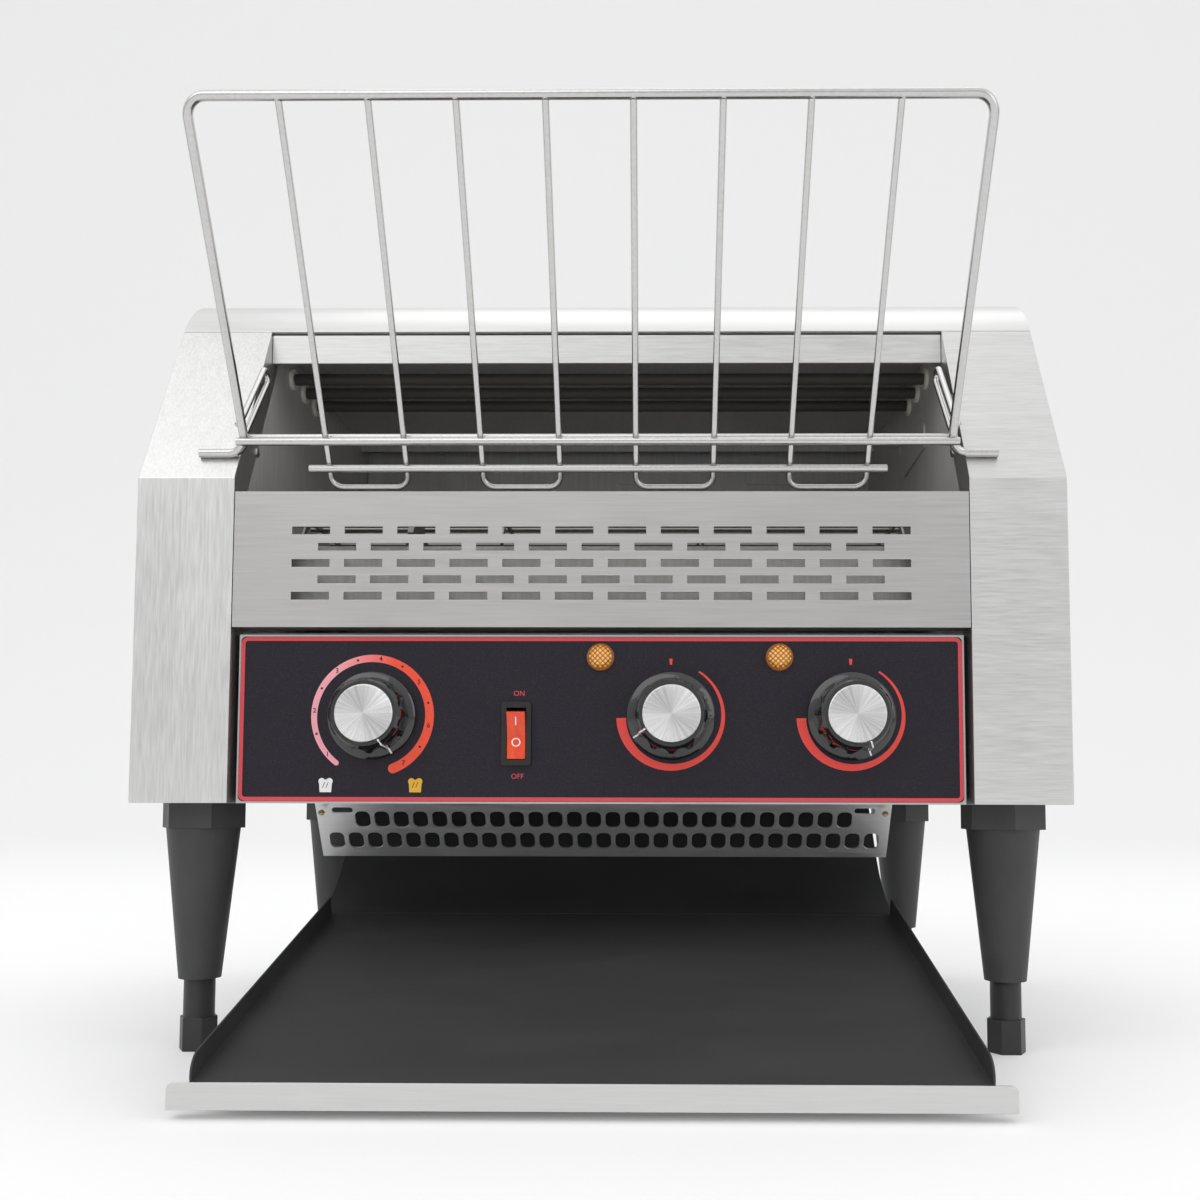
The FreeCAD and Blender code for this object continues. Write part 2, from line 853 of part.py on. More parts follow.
def compartment_wall():
    """Keeps heat and crumbs off the wiring behind the controls; guides the toast down."""
    made = body("compartment_wall")
    t = s.sheet
    top = floor + s.vent_foot
    run = (top - pan_top) / tangent(s.chute_slope)
    across = t / sine(s.chute_slope)
    step = t / tangent(s.chute_slope)
    start = panel_face + s.panel_return + 1.0
    foot = mouth_front - 12.0
    drawn = sketch(made, "YZ")
    outline(
        drawn,
        [
            (start, top - t),
            (start, top),
            (mouth_front + run, top),
            (mouth_front, pan_top),
            (foot, pan_top),
            (foot, pan_top + t),
            (mouth_front - across + step, pan_top + t),
            (mouth_front + run - across - step, top - t),
        ],
    )
    pad(made, drawn, span, both=True)
    return keep(made)


def rear_guide_plate():
    """Closes the oven at the back; pressed ovals stiffen it."""
    made = body("rear_guide_plate")
    drawn = sketch(made, "XZ", -(guide_y + s.sheet))
    rectangle(drawn, -span / 2, chute_top_z + s.seat, span / 2, roof - s.sheet - s.casing_lip)
    pad(made, drawn, s.sheet)
    ovals = sketch(made, "XZ", -guide_y)
    for x in (-72.0, 22.0, 116.0):
        box_at(ovals, x, floor + 241.0, 46.0, 11.0, 5.0)
    pad(made, ovals, s.sheet * 1.5)
    return keep(made)


def deflector_plate():
    """Perforated stop plate that hangs under the front, leaning back."""
    made = body("deflector_plate")
    t = s.sheet
    lean = s.deflector_lean
    length = s.deflector_drop / cosine(lean)
    flange = 14.0
    drawn = sketch(made, "XZ")
    rectangle(drawn, -s.deflector_half, -length, s.deflector_half, 0.0)
    pad(made, drawn, t)
    top = sketch(made, "YZ")
    outline(
        top,
        [
            (0.0, 0.0),
            (0.0, -t / cosine(lean)),
            (flange * cosine(lean) - t * sine(lean), -flange * sine(lean) - t * cosine(lean)),
            (flange * cosine(lean), -flange * sine(lean)),
        ],
    )
    pad(made, top, s.deflector_half * 2, both=True)
    corners = sketch(made, "XZ")
    for side in (-1, 1):
        box_at(corners, (s.deflector_half - 14) * side, -5.0, 11.0, 3.6, 1.5)
    pocket(made, corners, t * 3, both=True)
    for count, share in ((26, 0.31), (29, 0.70)):
        holes = sketch(made, "XZ")
        x = s.deflector_hole_step * (-(count - 1) / 2)
        box_at(holes, x, -length * share, 7.9, 10.0, 3.0)
        cut = pocket(made, holes, t * 3, both=True)
        repeat(made, cut, holes, "H_Axis", s.deflector_hole_step, count)
    stand(made, 0.0, front + s.deflector_setback, floor + s.sheet, lean)
    return keep(made)


def hanger(label, side):
    """Arm under the pan that carries the chute and reaches forward under the tray."""
    made = body(label)
    drawn = sketch(made, "YZ", s.arm_x * side)
    flat, steep = s.tray_slope, s.chute_slope
    r = chute_under + s.seat
    low = chute_under + s.arm_depth
    pan_under = floor + s.sheet
    reach = (pan_under - chute_cz + r * cosine(steep)) / sine(steep)
    tip = s.tray_length * 0.3
    outline(
        drawn,
        [
            (tray_y + tip * cosine(flat) + s.seat * sine(flat), tray_z + tip * sine(flat) - s.seat * cosine(flat)),
            (tray_y + tip * cosine(flat) + 8 * sine(flat), tray_z + tip * sine(flat) - 8 * cosine(flat)),
            (chute_cy + low * sine(flat), chute_cz - low * cosine(flat)),
            (chute_cy + low * sine(steep), chute_cz - low * cosine(steep)),
            (chute_cy + low * sine(steep) + 45, pan_under),
            (chute_cy + r * sine(steep) + reach * cosine(steep), pan_under),
            (chute_cy + r * sine(steep), chute_cz - r * cosine(steep), -r),
            (chute_cy + r * sine(flat), chute_cz - r * cosine(flat)),
        ],
    )
    pad(made, drawn, s.arm_plate, both=True)
    # Notch for the tray's hook
    notch = body_notch(made, side)
    pocket(made, notch, s.arm_plate * 3, both=True)
    return keep(made)


def body_notch(made, side):
    flat = s.tray_slope
    at = s.tray_length - s.hook_inset
    w = s.hook_plate / 2 + s.seat * 2
    deep = s.hook_drop + s.seat * 2
    corners = []
    for along, down in ((at - w, -1.0), (at - w, deep), (at + w, deep), (at + w, -1.0)):
        down = size_of(down)
        corners.append(
            (
                tray_y + along * cosine(flat) + down * sine(flat),
                tray_z + along * sine(flat) - down * cosine(flat),
            )
        )
    return outline(sketch(made, "YZ", s.arm_x * side), corners)


def discharge_tray():
    """Sloping tray with low side walls rounded at the front, and a hook under its back."""
    made = body("discharge_tray")
    t = s.sheet
    w, high = s.tray_width / 2, s.tray_wall
    drawn = sketch(made, "XZ")
    outline(drawn, [(-w, 0.0), (w, 0.0), (w, high), (w - t, high), (w - t, t), (t - w, t), (t - w, high), (-w, high)])
    pad(made, drawn, s.tray_length, back=True)
    corner = sketch(made, "YZ")
    outline(corner, [(-t, t), (0.0, t, t - high), (high - t, high), (high - t, high * 2), (-t, high * 2)])
    pocket(made, corner, s.tray_width * 2, both=True)
    hook = sketch(made, "YZ")
    at, thick = s.tray_length - s.hook_inset, s.hook_plate / 2
    rectangle(hook, at - thick, -s.hook_drop, at + thick, 0.0)
    pad(made, hook, (s.arm_x + 8) * 2, both=True)
    stand(made, s.tray_shift, tray_y, tray_z, s.tray_slope)
    return keep(made)


def tray_front_bar():
    made = body("tray_front_bar")
    t = s.sheet
    drawn = sketch(made, "XZ", -(front - s.tray_reach + t))
    w, low, high, r = s.bar_width / 2, s.tray_clearance, s.tray_clearance + s.bar_height, s.bar_round
    x = s.tray_shift
    outline(
        drawn,
        [(x - w, low), (x + w, low), (x + w, high - r, r), (x + w - r, high), (x - w + r, high, r), (x - w, high - r)],
    )
    pad(made, drawn, t)
    fold = sketch(made, "YZ", s.tray_shift)
    y = front - s.tray_reach
    rectangle(fold, y, low, y + 8, low + t)
    pad(made, fold, s.bar_width, both=True)
    return keep(made)


# Bread rack


def loading_rack():
    """Welded wire rack: outer frame with rest ends, two cross bars, four hooked wires."""
    made = body("loading_rack")
    w, high, r = rack_half, s.rack_height, s.rack_corner
    rest = 15.0
    path = sketch(made, "XZ")
    outline(
        path,
        [
            (-w - r - rest, 0.0),
            (-w - r, 0.0, r),
            (-w, r),
            (-w, high - r, -r),
            (-w + r, high),
            (w - r, high, -r),
            (w, high - r),
            (w, r, r),
            (w + r, 0.0),
            (w + r + rest, 0.0),
        ],
        closed=False,
    )
    section = sketch(made, "YZ", -w - r - rest)
    circle(section, 0.0, 0.0, s.rack_wire)
    pipe(made, path, section)
    # Cross bars before and behind the thin wires
    apart = (s.rack_bar_wire + s.rack_thin_wire) / 2 - 0.3
    bars = sketch(made, "YZ")
    circle(bars, -apart, s.rack_bar_height, s.rack_bar_wire)
    circle(bars, apart, s.rack_bar_height, s.rack_bar_wire)
    pad(made, bars, (w + 3) * 2, both=True)
    low_bar = sketch(made, "YZ")
    circle(low_bar, -apart, -s.rack_low_bar, s.rack_bar_wire)
    pad(made, low_bar, s.hook_pitch * 3 + s.hook_width + s.rack_low_overhang * 2, both=True)
    # Hooked wires
    u = s.hook_width / 2
    x0 = s.hook_pitch * -1.5
    hook = sketch(made, "XZ")
    bend = 6.0
    low = -s.rack_hook_drop
    outline(
        hook,
        [
            (x0 - u, high),
            (x0 - u, low + bend, bend),
            (x0 - u + bend, low),
            (x0 + u - bend, low, bend),
            (x0 + u, low + bend),
            (x0 + u, high),
        ],
        closed=False,
    )
    end = sketch(made, "XY", high)
    circle(end, x0 - u, 0.0, s.rack_thin_wire)
    wire = pipe(made, hook, end)
    repeat(made, wire, hook, "H_Axis", s.hook_pitch, 4)
    # Hairpins that lie inside the side plates and stop the rack from tipping
    turn = s.rack_lean + s.hairpin_lean
    up_y, up_z = sine(turn), cosine(turn)
    r = s.hairpin_width / 2
    far_y, far_z = apart + s.hairpin * up_y, s.rack_bar_height + s.hairpin * up_z
    pin = sketch(made, "YZ", -(w + 1.5))
    outline(
        pin,
        [
            (apart, s.rack_bar_height),
            (far_y, far_z, r),
            (far_y + r * (up_y - up_z), far_z + r * (up_z + up_y), r),
            (far_y - r * 2 * up_z, far_z + r * 2 * up_y),
            (apart - r * 2 * up_z, s.rack_bar_height + r * 2 * up_y),
        ],
        closed=False,
    )
    start = sketch(made, "XZ", -apart)
    circle(start, -(w + 1.5), s.rack_bar_height, s.rack_thin_wire)
    hairpin = pipe(made, pin, start)
    repeat(made, hairpin, start, "H_Axis", (w + 1.5) * 2, 2)
    stand(made, s.rack_shift, rack_y, rack_z, s.rack_lean)
    return keep(made)


# Legs


def leg(label, x, y, turn):
    """Hexagonal collar and tapered leg with a blind bore for the foot."""
    made = body(label)
    collar = sketch(made, "XY", -s.collar_height)
    polygon(collar, 0.0, 0.0, s.collar, 6)
    pad(made, collar, s.collar_height)
    taper = sketch(made, "XZ")
    low = -s.collar_height - s.leg_taper
    bore = s.foot_stud / 2 + s.running * 2
    deep = low + s.foot_bore
    outline(
        taper,
        [
            (0.0, -s.collar_height),
            (0.0, deep),
            (bore, deep),
            (bore, low),
            (s.leg_tip / 2, low),
            (s.leg_top / 2, -s.collar_height),
        ],
    )
    revolve(made, taper)
    stand(made, x, y, floor, turn, (0, 0, 1))
    return keep(made)


def foot(label, x, y):
    """Screw foot: a stud in the leg, a round neck and a hexagonal end on the table."""
    made = body(label)
    end = sketch(made, "XY")
    polygon(end, 0.0, 0.0, s.foot_hex, 6)
    pad(made, end, s.foot_hex_height)
    neck = sketch(made, "XZ")
    top = floor - s.collar_height - s.leg_taper - s.seat
    outline(
        neck,
        [
            (0.0, s.foot_hex_height),
            (s.foot / 2, s.foot_hex_height),
            (s.foot / 2, top),
            (s.foot_stud / 2, top),
            (s.foot_stud / 2, top + s.foot_bore - 3),
            (0.0, top + s.foot_bore - 3),
        ],
    )
    revolve(made, neck)
    stand(made, x, y, 0.0)
    return keep(made)


# Controls


def face_on(thing, x, z, clockwise=0.0):
    """Stands a piece modelled along +Z on the control panel, facing the user."""
    turn = Rotation(Vector(1, 0, 0), 90) * Rotation(Vector(0, 0, 1), -clockwise)
    thing.Placement = Placement(Vector(), turn)
    return stand(thing, x, knob_face, z)


def knob(label, x, pointing):
    """Fluted knob with a ring, a hub for the spindle and a recess for its metal cap."""
    made = body(label)
    ring, grip, cap = s.knob_ring / 2, s.knob_grip / 2, s.knob_cap / 2
    deep = s.knob_depth
    hub, bore = 6.0, s.spindle / 2 + s.running
    lift = s.knob_gap
    profile = sketch(made, "XZ")
    outline(
        profile,
        [
            (bore, lift + 3.5),
            (hub, lift + 3.5),
            (hub, deep - 5),
            (grip - 3.4, deep - 5),
            (grip - 3.4, lift),
            (ring, lift),
            (ring, lift + 2.6),
            (ring - 1, lift + 3.4),
            (grip, lift + 4),
            (grip - 1.4, deep - 1.6),
            (grip - 3, deep),
            (cap + s.seat, deep),
            (cap + s.seat, deep - 1),
            (0.0, deep - 1),
            (0.0, deep - 3),
            (bore, deep - 3),
        ],
    )
    revolve(made, profile)
    flutes = sketch(made, "XY", deep + 1)
    for step in range(FLUTES):
        angle = 2 * math.pi * (step + 0.5) / FLUTES
        away = grip + 3.4
        circle(flutes, away * math.cos(angle), away * math.sin(angle), 10.6)
    pocket(made, flutes, deep - lift - 3.4)
    mark = sketch(made, "YZ")
    rectangle(mark, cap + 0.7, deep - 2, grip - 3.4, deep + 0.3)
    pad(made, mark, 1.4, both=True)
    face_on(made, x, knob_z, pointing)
    return keep(made)


def knob_cap(label, x, pointing):
    made = body(label)
    cap, low = s.knob_cap / 2, s.knob_depth - 1
    profile = sketch(made, "XZ")
    outline(profile, [(0.0, low), (cap, low), (cap, low + 1.1), (cap - 0.6, low + 1.6), (0.0, low + 1.9)])
    revolve(made, profile)
    face_on(made, x, knob_z, pointing)
    return keep(made)


def spindle(label, x):
    """Round spindle from inside the control to the bottom of the knob's bore."""
    rod = doc.addObject("Part::Cylinder", label)
    rod.Label = label
    bind(rod, "Radius", s.spindle / 2)
    bind(rod, "Height", s.control_depth + s.overlay + s.knob_depth - 4)
    rod.Placement = Placement(Vector(), Rotation(Vector(1, 0, 0), 90))
    stand(rod, x, panel_face + s.control_depth, knob_z)
    return keep(rod)


def control_body(made, x, width, height, depth):
    """Casing of a rotary control, with its threaded bushing and nut, round a spindle bore."""
    behind = panel_face + s.sheet
    case = sketch(made, "XZ", -(behind + s.seat + depth))
    box_at(case, x, knob_z, width, height, 2.0)
    circle(case, x, knob_z, s.spindle + s.running * 2)
    pad(made, case, depth)
    neck = sketch(made, "XZ", -(behind + s.seat))
    circle(neck, x, knob_z, s.bushing)
    circle(neck, x, knob_z, s.spindle + s.running * 2)
    pad(made, neck, s.sheet + s.seat + s.overlay + 2.6)
    nut = sketch(made, "XZ", -(knob_face - s.seat))
    polygon(nut, x, knob_z, 14.0, 6)
    circle(nut, x, knob_z, s.bushing - 0.2)
    pad(made, nut, 2.0)


def rotary_controls(label, places, width, height, depth):
    made = body(label)
    for x in places:
        control_body(made, x, width, height, depth)
    return keep(made)


def switch_housing():
    made = body("switch_housing")
    window_w, window_h = s.rocker_width + 0.8, s.rocker_length + 2.4
    block = sketch(made, "XZ", -(panel_face + 24))
    box_at(block, s.switch_x, switch_z, s.switch_width, s.switch_body)
    pad(made, block, s.overlay + 24)
    rim = sketch(made, "XZ", -(knob_face - s.seat))
    box_at(rim, s.switch_x, switch_z, s.bezel_width, s.bezel_height, 1.5)
    pad(made, rim, s.bezel_depth - s.seat)
    well = sketch(made, "XZ", -(knob_face - s.bezel_depth))
    box_at(well, s.switch_x, switch_z, window_w, window_h)
    pocket(made, well, 14.0)
    pins = sketch(made, "YZ", s.switch_x)
    circle(pins, rocker_y, switch_z, 2.0 + s.running * 2)
    pocket(made, pins, s.rocker_width + 2.2, both=True)
    return keep(made)


def switch_rocker():
    """Hollow-faced rocker on a cross pin, stored with its lower end pressed in."""
    made = body("switch_rocker")
    end, up = s.rocker_length / 2, 6.2
    drawn = sketch(made, "YZ")
    outline(
        drawn,
        [(-up, -end), (-up + 1.9, 0.0), (-up, end), (-2.6, end), (2.2, 5.0), (2.2, -5.0), (-2.6, -end)],
    )
    pad(made, drawn, s.rocker_width, both=True)
    pin = sketch(made, "YZ")
    circle(pin, 0.0, 0.0, 2.0)
    pad(made, pin, s.rocker_width + 2, both=True)
    stand(made, s.switch_x, rocker_y, switch_z, s.rocker_tilt)
    return keep(made)


def lamps():
    barrel, ring, glass = s.lamp_barrel / 2, s.lamp_ring / 2, s.lamp_lens / 2
    gap = s.seat
    housing = body("lamp_housings")
    lens = body("lamp_lenses")
    cup = [
        (0.0, -24.0),
        (barrel, -24.0),
        (barrel, gap),
        (ring, gap),
        (ring, 1.2),
        (ring - 0.5, 1.9),
        (glass + gap, 1.9),
        (glass + gap, 0.9),
        (0.0, 0.9),
    ]
    dome = [(0.0, 1.0), (glass, 1.0), (glass, 2.4), (glass - 1.6, 3.8), (0.0, 4.4)]
    for made, points in ((housing, cup), (lens, dome)):
        drawn = sketch(made, "XZ")
        outline(drawn, points)
        turned = revolve(made, drawn)
        repeat(made, turned, drawn, "H_Axis", s.lamp_right_x - s.lamp_left_x, 2)
        face_on(made, s.lamp_left_x, lamp_z)
        keep(made)


# Belt drive


def belt_shaft(label, y, right_end):
    rod = doc.addObject("Part::Cylinder", label)
    rod.Label = label
    left = wall + s.plate + 7
    bind(rod, "Radius", s.shaft / 2)
    bind(rod, "Height", left + right_end)
    rod.Placement = Placement(Vector(), Rotation(Vector(0, 1, 0), 90))
    stand(rod, -left, y, shaft_z)
    return keep(rod)


def sprockets(label, y):
    """Three toothed wheels on one shaft, each with a hub."""
    made = body(label)
    outer = pitch_radius + 1.9
    disc = sketch(made, "YZ", -s.sprocket_step)
    circle(disc, 0.0, 0.0, outer * 2)
    circle(disc, 0.0, 0.0, s.shaft + s.running * 2)
    wheel = pad(made, disc, s.sprocket_plate, both=True)
    seat = sketch(made, "YZ", -s.sprocket_step)
    r = s.belt_rod / 2 + 0.3
    outline(
        seat,
        [
            (-r * 0.96, pitch_radius - r * 0.28, r),
            (r * 0.96, pitch_radius - r * 0.28),
            (r * 1.7, outer + 1),
            (-r * 1.7, outer + 1),
        ],
    )
    cut = pocket(made, seat, s.sprocket_plate * 2, both=True)
    teeth = around(made, cut, seat, TEETH)
    hub = sketch(made, "YZ", -s.sprocket_step)
    circle(hub, 0.0, 0.0, s.shaft * 2.2)
    circle(hub, 0.0, 0.0, s.shaft + s.running * 2)
    pad(made, hub, s.sprocket_plate * 3, both=True)
    stand(made, 0.0, y, shaft_z)
    return keep(made)


def shaft_bushes():
    """Flanged bushes for the two shafts, one pair in each side plate."""
    made = body("shaft_bushes")
    bore, outer, rim = s.shaft / 2 + s.running, bush_outer / 2, bush_outer / 2 + 3
    drawn = sketch(made, "XZ")
    inside, face, outside = wall - 3, wall + s.plate + s.seat, wall + s.plate + 2.2
    for side in (-1, 1):
        outline(
            drawn,
            [
                (inside * side, bore),
                (outside * side, bore),
                (outside * side, rim),
                (face * side, rim),
                (face * side, outer),
                (inside * side, outer),
            ],
        )
    turned = revolve(made, drawn, "H_Axis")
    repeat(made, turned, drawn, "N_Axis", belt_run, 2)
    stand(made, 0.0, back_shaft_y, shaft_z)
    return keep(made)


def gear_motor():
    """Flat gear motor on the right side plate, straight on the end of the back shaft."""
    made = body("gear_motor")
    drawn = sketch(made, "XZ")
    x0 = wall + s.plate + 2.5
    bore = s.shaft / 2 + s.running
    outline(
        drawn,
        [
            (x0, bore),
            (x0, 26.0),
            (x0 + 20, 26.0),
            (x0 + 20, 19.0),
            (half - 4, 19.0),
            (half - 4, 0.0),
            (x0 + 12, 0.0),
            (x0 + 12, bore),
        ],
    )
    revolve(made, drawn, "H_Axis")
    stand(made, 0.0, back_shaft_y, shaft_z)
    return keep(made)


def conveyor_belt():
    """Cross rods at one pitch, joined by four rows of links, round both shafts."""
    made = body("conveyor_belt")
    rods = sketch(made, "YZ")
    for step in range(BELT_STEPS + 1):
        circle(rods, s.belt_pitch * step, pitch_radius, s.belt_rod)
        circle(rods, s.belt_pitch * step, -pitch_radius, s.belt_rod)
    for step in range(1, TEETH // 2):
        angle = 2 * math.pi * step / TEETH
        across, up = pitch_radius * math.sin(angle), pitch_radius * math.cos(angle)
        circle(rods, -across, up, s.belt_rod)
        circle(rods, belt_run + across, up, s.belt_rod)
    pad(made, rods, s.belt_half * 2, both=True)
    links = sketch(made, "YZ", -(s.belt_half - 6))
    for thick in (1.5, -1.5):
        r = pitch_radius + thick
        outline(
            links,
            [
                (0.0, r, r),
                (-r, 0.0, r),
                (0.0, -r),
                (belt_run, -r, r),
                (belt_run + r, 0.0, r),
                (belt_run, r),
            ],
        )
    strap = pad(made, links, 1.2, both=True)
    repeat(made, strap, links, "N_Axis", (s.belt_half - 6) * 2 / 3, 4)
    stand(made, 0.0, front_shaft_y, shaft_z)
    return keep(made)


# Heating tubes


def heaters(label, places, height):
    made = body(label)
    drawn = sketch(made, "YZ")
    for y in places:
        circle(drawn, y, height, s.heater)
    pad(made, drawn, heater_half * 2, both=True)
    return keep(made)


def heater_insulators():
    made = body("heater_insulators")
    length = 9.0
    for x in (wall - 2, -(wall - 2 + length)):
        drawn = sketch(made, "YZ", x)
        for y in upper_tubes_y:
            circle(drawn, y, upper_tubes_z, tube_sleeve)
            circle(drawn, y, upper_tubes_z, s.heater + s.running * 2)
        for y in lower_tubes_y:
            circle(drawn, y, shaft_z, tube_sleeve)
            circle(drawn, y, shaft_z, s.heater + s.running * 2)
        pad(made, drawn, length)
    return keep(made)


# Electrical fittings and screws


def terminal_block():
    made = body("terminal_block")
    drawn = sketch(made, "YZ", -half + 14)
    y, z = back - 90.0, pan_top
    outline(drawn, [(y, z), (y + 60, z), (y + 60, z + 12), (y + 54, z + 18), (y + 6, z + 18), (y, z + 12)])
    pad(made, drawn, 20.0)
    wells = sketch(made, "XY", z + 18)
    circle(wells, -half + 24, y + 12, 6.0)
    cut = pocket(made, wells, 9.0)
    repeat(made, cut, wells, "V_Axis", 12.0, 4)
    return keep(made)


def cord_inlet():
    """Plain bushing in the back cover where the supply enters."""
    made = body("cord_inlet")
    drawn = sketch(made, "XZ")
    bore, neck = 5.0, s.inlet / 2
    outline(
        drawn,
        [(bore, -8.0), (neck, -8.0), (neck, s.seat), (neck + 3, s.seat), (neck + 3, 2.0), (neck - 1, 6.0), (bore, 6.0)],
    )
    revolve(made, drawn)
    made.Placement = Placement(Vector(), Rotation(Vector(1, 0, 0), -90))
    stand(made, inlet_x, back, floor + s.inlet_height)
    return keep(made)


def cover_screws():
    """Domed screws of the back cover and of the roof's back edge."""
    made = body("cover_screws")
    drawn = sketch(made, "XZ", -back)
    for x in (-half + 7, half - 7):
        for z in (floor + 20, floor + 135, floor + 250):
            circle(drawn, x, z, 7.0)
    for x in (-half + 7, 0.0, half - 7):
        circle(drawn, x, roof - 14, 7.0)
    pad(made, drawn, 1.8, back=True)
    return keep(made)


for side, hand in ((-1, "left"), (1, "right")):
    side_casing(f"{hand}_casing", side)
    inner_plate(f"{hand}_inner_plate", side)
    hanger(f"{hand}_tray_arm", side)
    for y, place_name, turn in ((leg_front_y, "front", side), (leg_back_y, "back", 1)):
        x = leg_x * side
        leg(f"{place_name}_{hand}_leg", x, y, s.collar_turn * ((turn + 1) / 2))
        foot(f"{place_name}_{hand}_foot", x, y)
roof_cover()
back_cover()
base_pan()
return_chute()
front_lintel()
vent_panel()
control_fascia()
panel_overlay()
compartment_wall()
rear_guide_plate()
deflector_plate()
channel("upper_reflector", seam_y + 24, guide_y - 22, upper_tubes_z + 14, 8.0, span)
reflector_reach = s.belt_pitch * (BELT_STEPS / 2) - pitch_radius - 6
channel("lower_reflector", belt_middle - reflector_reach, belt_middle + reflector_reach, shaft_z - 10, -5.0, span)
discharge_tray()
tray_front_bar()
loading_rack()
wall_bracket()
KNOBS = (
    ("speed", s.speed_knob_x, 150.4),
    ("upper_heat", s.upper_knob_x, 239.7),
    ("lower_heat", s.lower_knob_x, 155.0),
)
for name, x, pointing in KNOBS:
    knob(f"{name}_knob", x, pointing)
    knob_cap(f"{name}_knob_cap", x, pointing)
    spindle(f"{name}_spindle", x)
rotary_controls("speed_control", (s.speed_knob_x,), 26.0, 26.0, 14.0)
rotary_controls("heat_regulators", (s.upper_knob_x, s.lower_knob_x), 46.0, 36.0, 32.0)
switch_housing()
switch_rocker()
lamps()
belt_shaft("drive_shaft", back_shaft_y, wall + s.plate + 12)
belt_shaft("idler_shaft", front_shaft_y, wall + s.plate + 7)
sprockets("drive_sprockets", back_shaft_y)
sprockets("idler_sprockets", front_shaft_y)
shaft_bushes()
gear_motor()
conveyor_belt()
heaters("upper_heaters", upper_tubes_y, upper_tubes_z)
heaters("lower_heaters", lower_tubes_y, shaft_z)
heater_insulators()
terminal_block()
cord_inlet()
cover_screws()
doc.recompute()

faults = []
for thing in doc.Objects:
    if "Invalid" in thing.State or "Error" in thing.State:
        faults.append(f"{thing.Name} ({thing.Label}) did not build")
for piece in pieces:
    if not piece.Shape.Solids or not piece.Shape.isValid():
        faults.append(f"{piece.Label} has no valid solid")
if faults:
    raise RuntimeError("; ".join(faults))
os.makedirs("parts", exist_ok=True)
for piece in pieces:
    piece.Shape.exportStep(f"parts/{piece.Label}.step")
whole = Part.makeCompound([piece.Shape for piece in pieces]).BoundBox
print(f"{len(pieces)} pieces, {whole.XLength:.1f} x {whole.YLength:.1f} x {whole.ZLength:.1f} mm")
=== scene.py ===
import json
import math

import bmesh
import bpy
from mathutils import Matrix, Vector


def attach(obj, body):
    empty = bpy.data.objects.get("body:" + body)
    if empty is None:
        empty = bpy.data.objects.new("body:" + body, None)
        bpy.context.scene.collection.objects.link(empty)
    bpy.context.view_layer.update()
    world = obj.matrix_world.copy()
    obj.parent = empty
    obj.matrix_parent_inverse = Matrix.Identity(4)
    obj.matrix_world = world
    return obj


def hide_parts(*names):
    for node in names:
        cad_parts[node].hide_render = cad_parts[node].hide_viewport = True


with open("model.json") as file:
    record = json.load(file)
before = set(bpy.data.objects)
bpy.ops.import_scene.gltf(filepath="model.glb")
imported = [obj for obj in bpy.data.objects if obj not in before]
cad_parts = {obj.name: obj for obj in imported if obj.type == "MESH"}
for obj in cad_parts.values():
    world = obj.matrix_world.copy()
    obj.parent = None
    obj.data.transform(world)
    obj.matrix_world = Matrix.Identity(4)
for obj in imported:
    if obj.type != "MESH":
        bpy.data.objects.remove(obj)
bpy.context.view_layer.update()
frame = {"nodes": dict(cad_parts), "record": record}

MM = 0.001
NODES = frame["nodes"]
SLOT_OF = {part["node"]: part["material_slot"] for part in frame["record"]["subparts"]}
BODY_OF = {node: body for body, nodes in frame["record"]["behaviour"]["bodies"].items() for node in nodes}

# Places from the CAD, in millimetres
FRONT = -103.0
FLOOR = 126.0
PANEL = -97.4
KNOB_Z = FLOOR + 43.9
SWITCH = (-42.0, FLOOR + 35.0)
# Each knob's place across the panel, and how far its pointer is turned clockwise at rest
KNOBS = {"speed_knob": (-114.5, 150.4), "upper_heat_knob": (35.4, 239.7), "lower_heat_knob": (125.6, 155.0)}

# The camera that was fitted to the photograph
CAMERA_PLACE = (26.6, -685.2, 127.6)
CAMERA_LENS = 35.27
CAMERA_SHIFT = (-0.0352, 0.1026)
CAMERA_PITCH = 0.066
CAMERA_YAW = 0.0095
CAMERA_ROLL = 0.0021


# Camera and light

def camera():
    """The photograph's view: level with the body's underside, looking up a little."""
    data = bpy.data.cameras.new("camera")
    data.lens = CAMERA_LENS
    data.sensor_width = 36.0
    data.shift_x, data.shift_y = CAMERA_SHIFT
    seen = bpy.data.objects.new("camera", data)
    seen.location = Vector(CAMERA_PLACE) * MM
    yaw = Matrix.Rotation(CAMERA_YAW, 4, "Z")
    pitch = Matrix.Rotation(math.pi / 2 + CAMERA_PITCH, 4, "X")
    roll = Matrix.Rotation(CAMERA_ROLL, 4, "Z")
    seen.rotation_euler = (yaw @ pitch @ roll).to_euler()
    bpy.context.scene.collection.objects.link(seen)
    bpy.context.scene.camera = seen


def softbox(name, place, target, width, height, power):
    """Rectangular light at a place in metres, turned to a target."""
    data = bpy.data.lights.new(name, "AREA")
    data.shape = "RECTANGLE"
    data.size = width
    data.size_y = height
    data.energy = power
    lamp = bpy.data.objects.new(name, data)
    lamp.location = place
    lamp.rotation_euler = (Vector(target) - Vector(place)).to_track_quat("-Z", "Y").to_euler()
    bpy.context.scene.collection.objects.link(lamp)


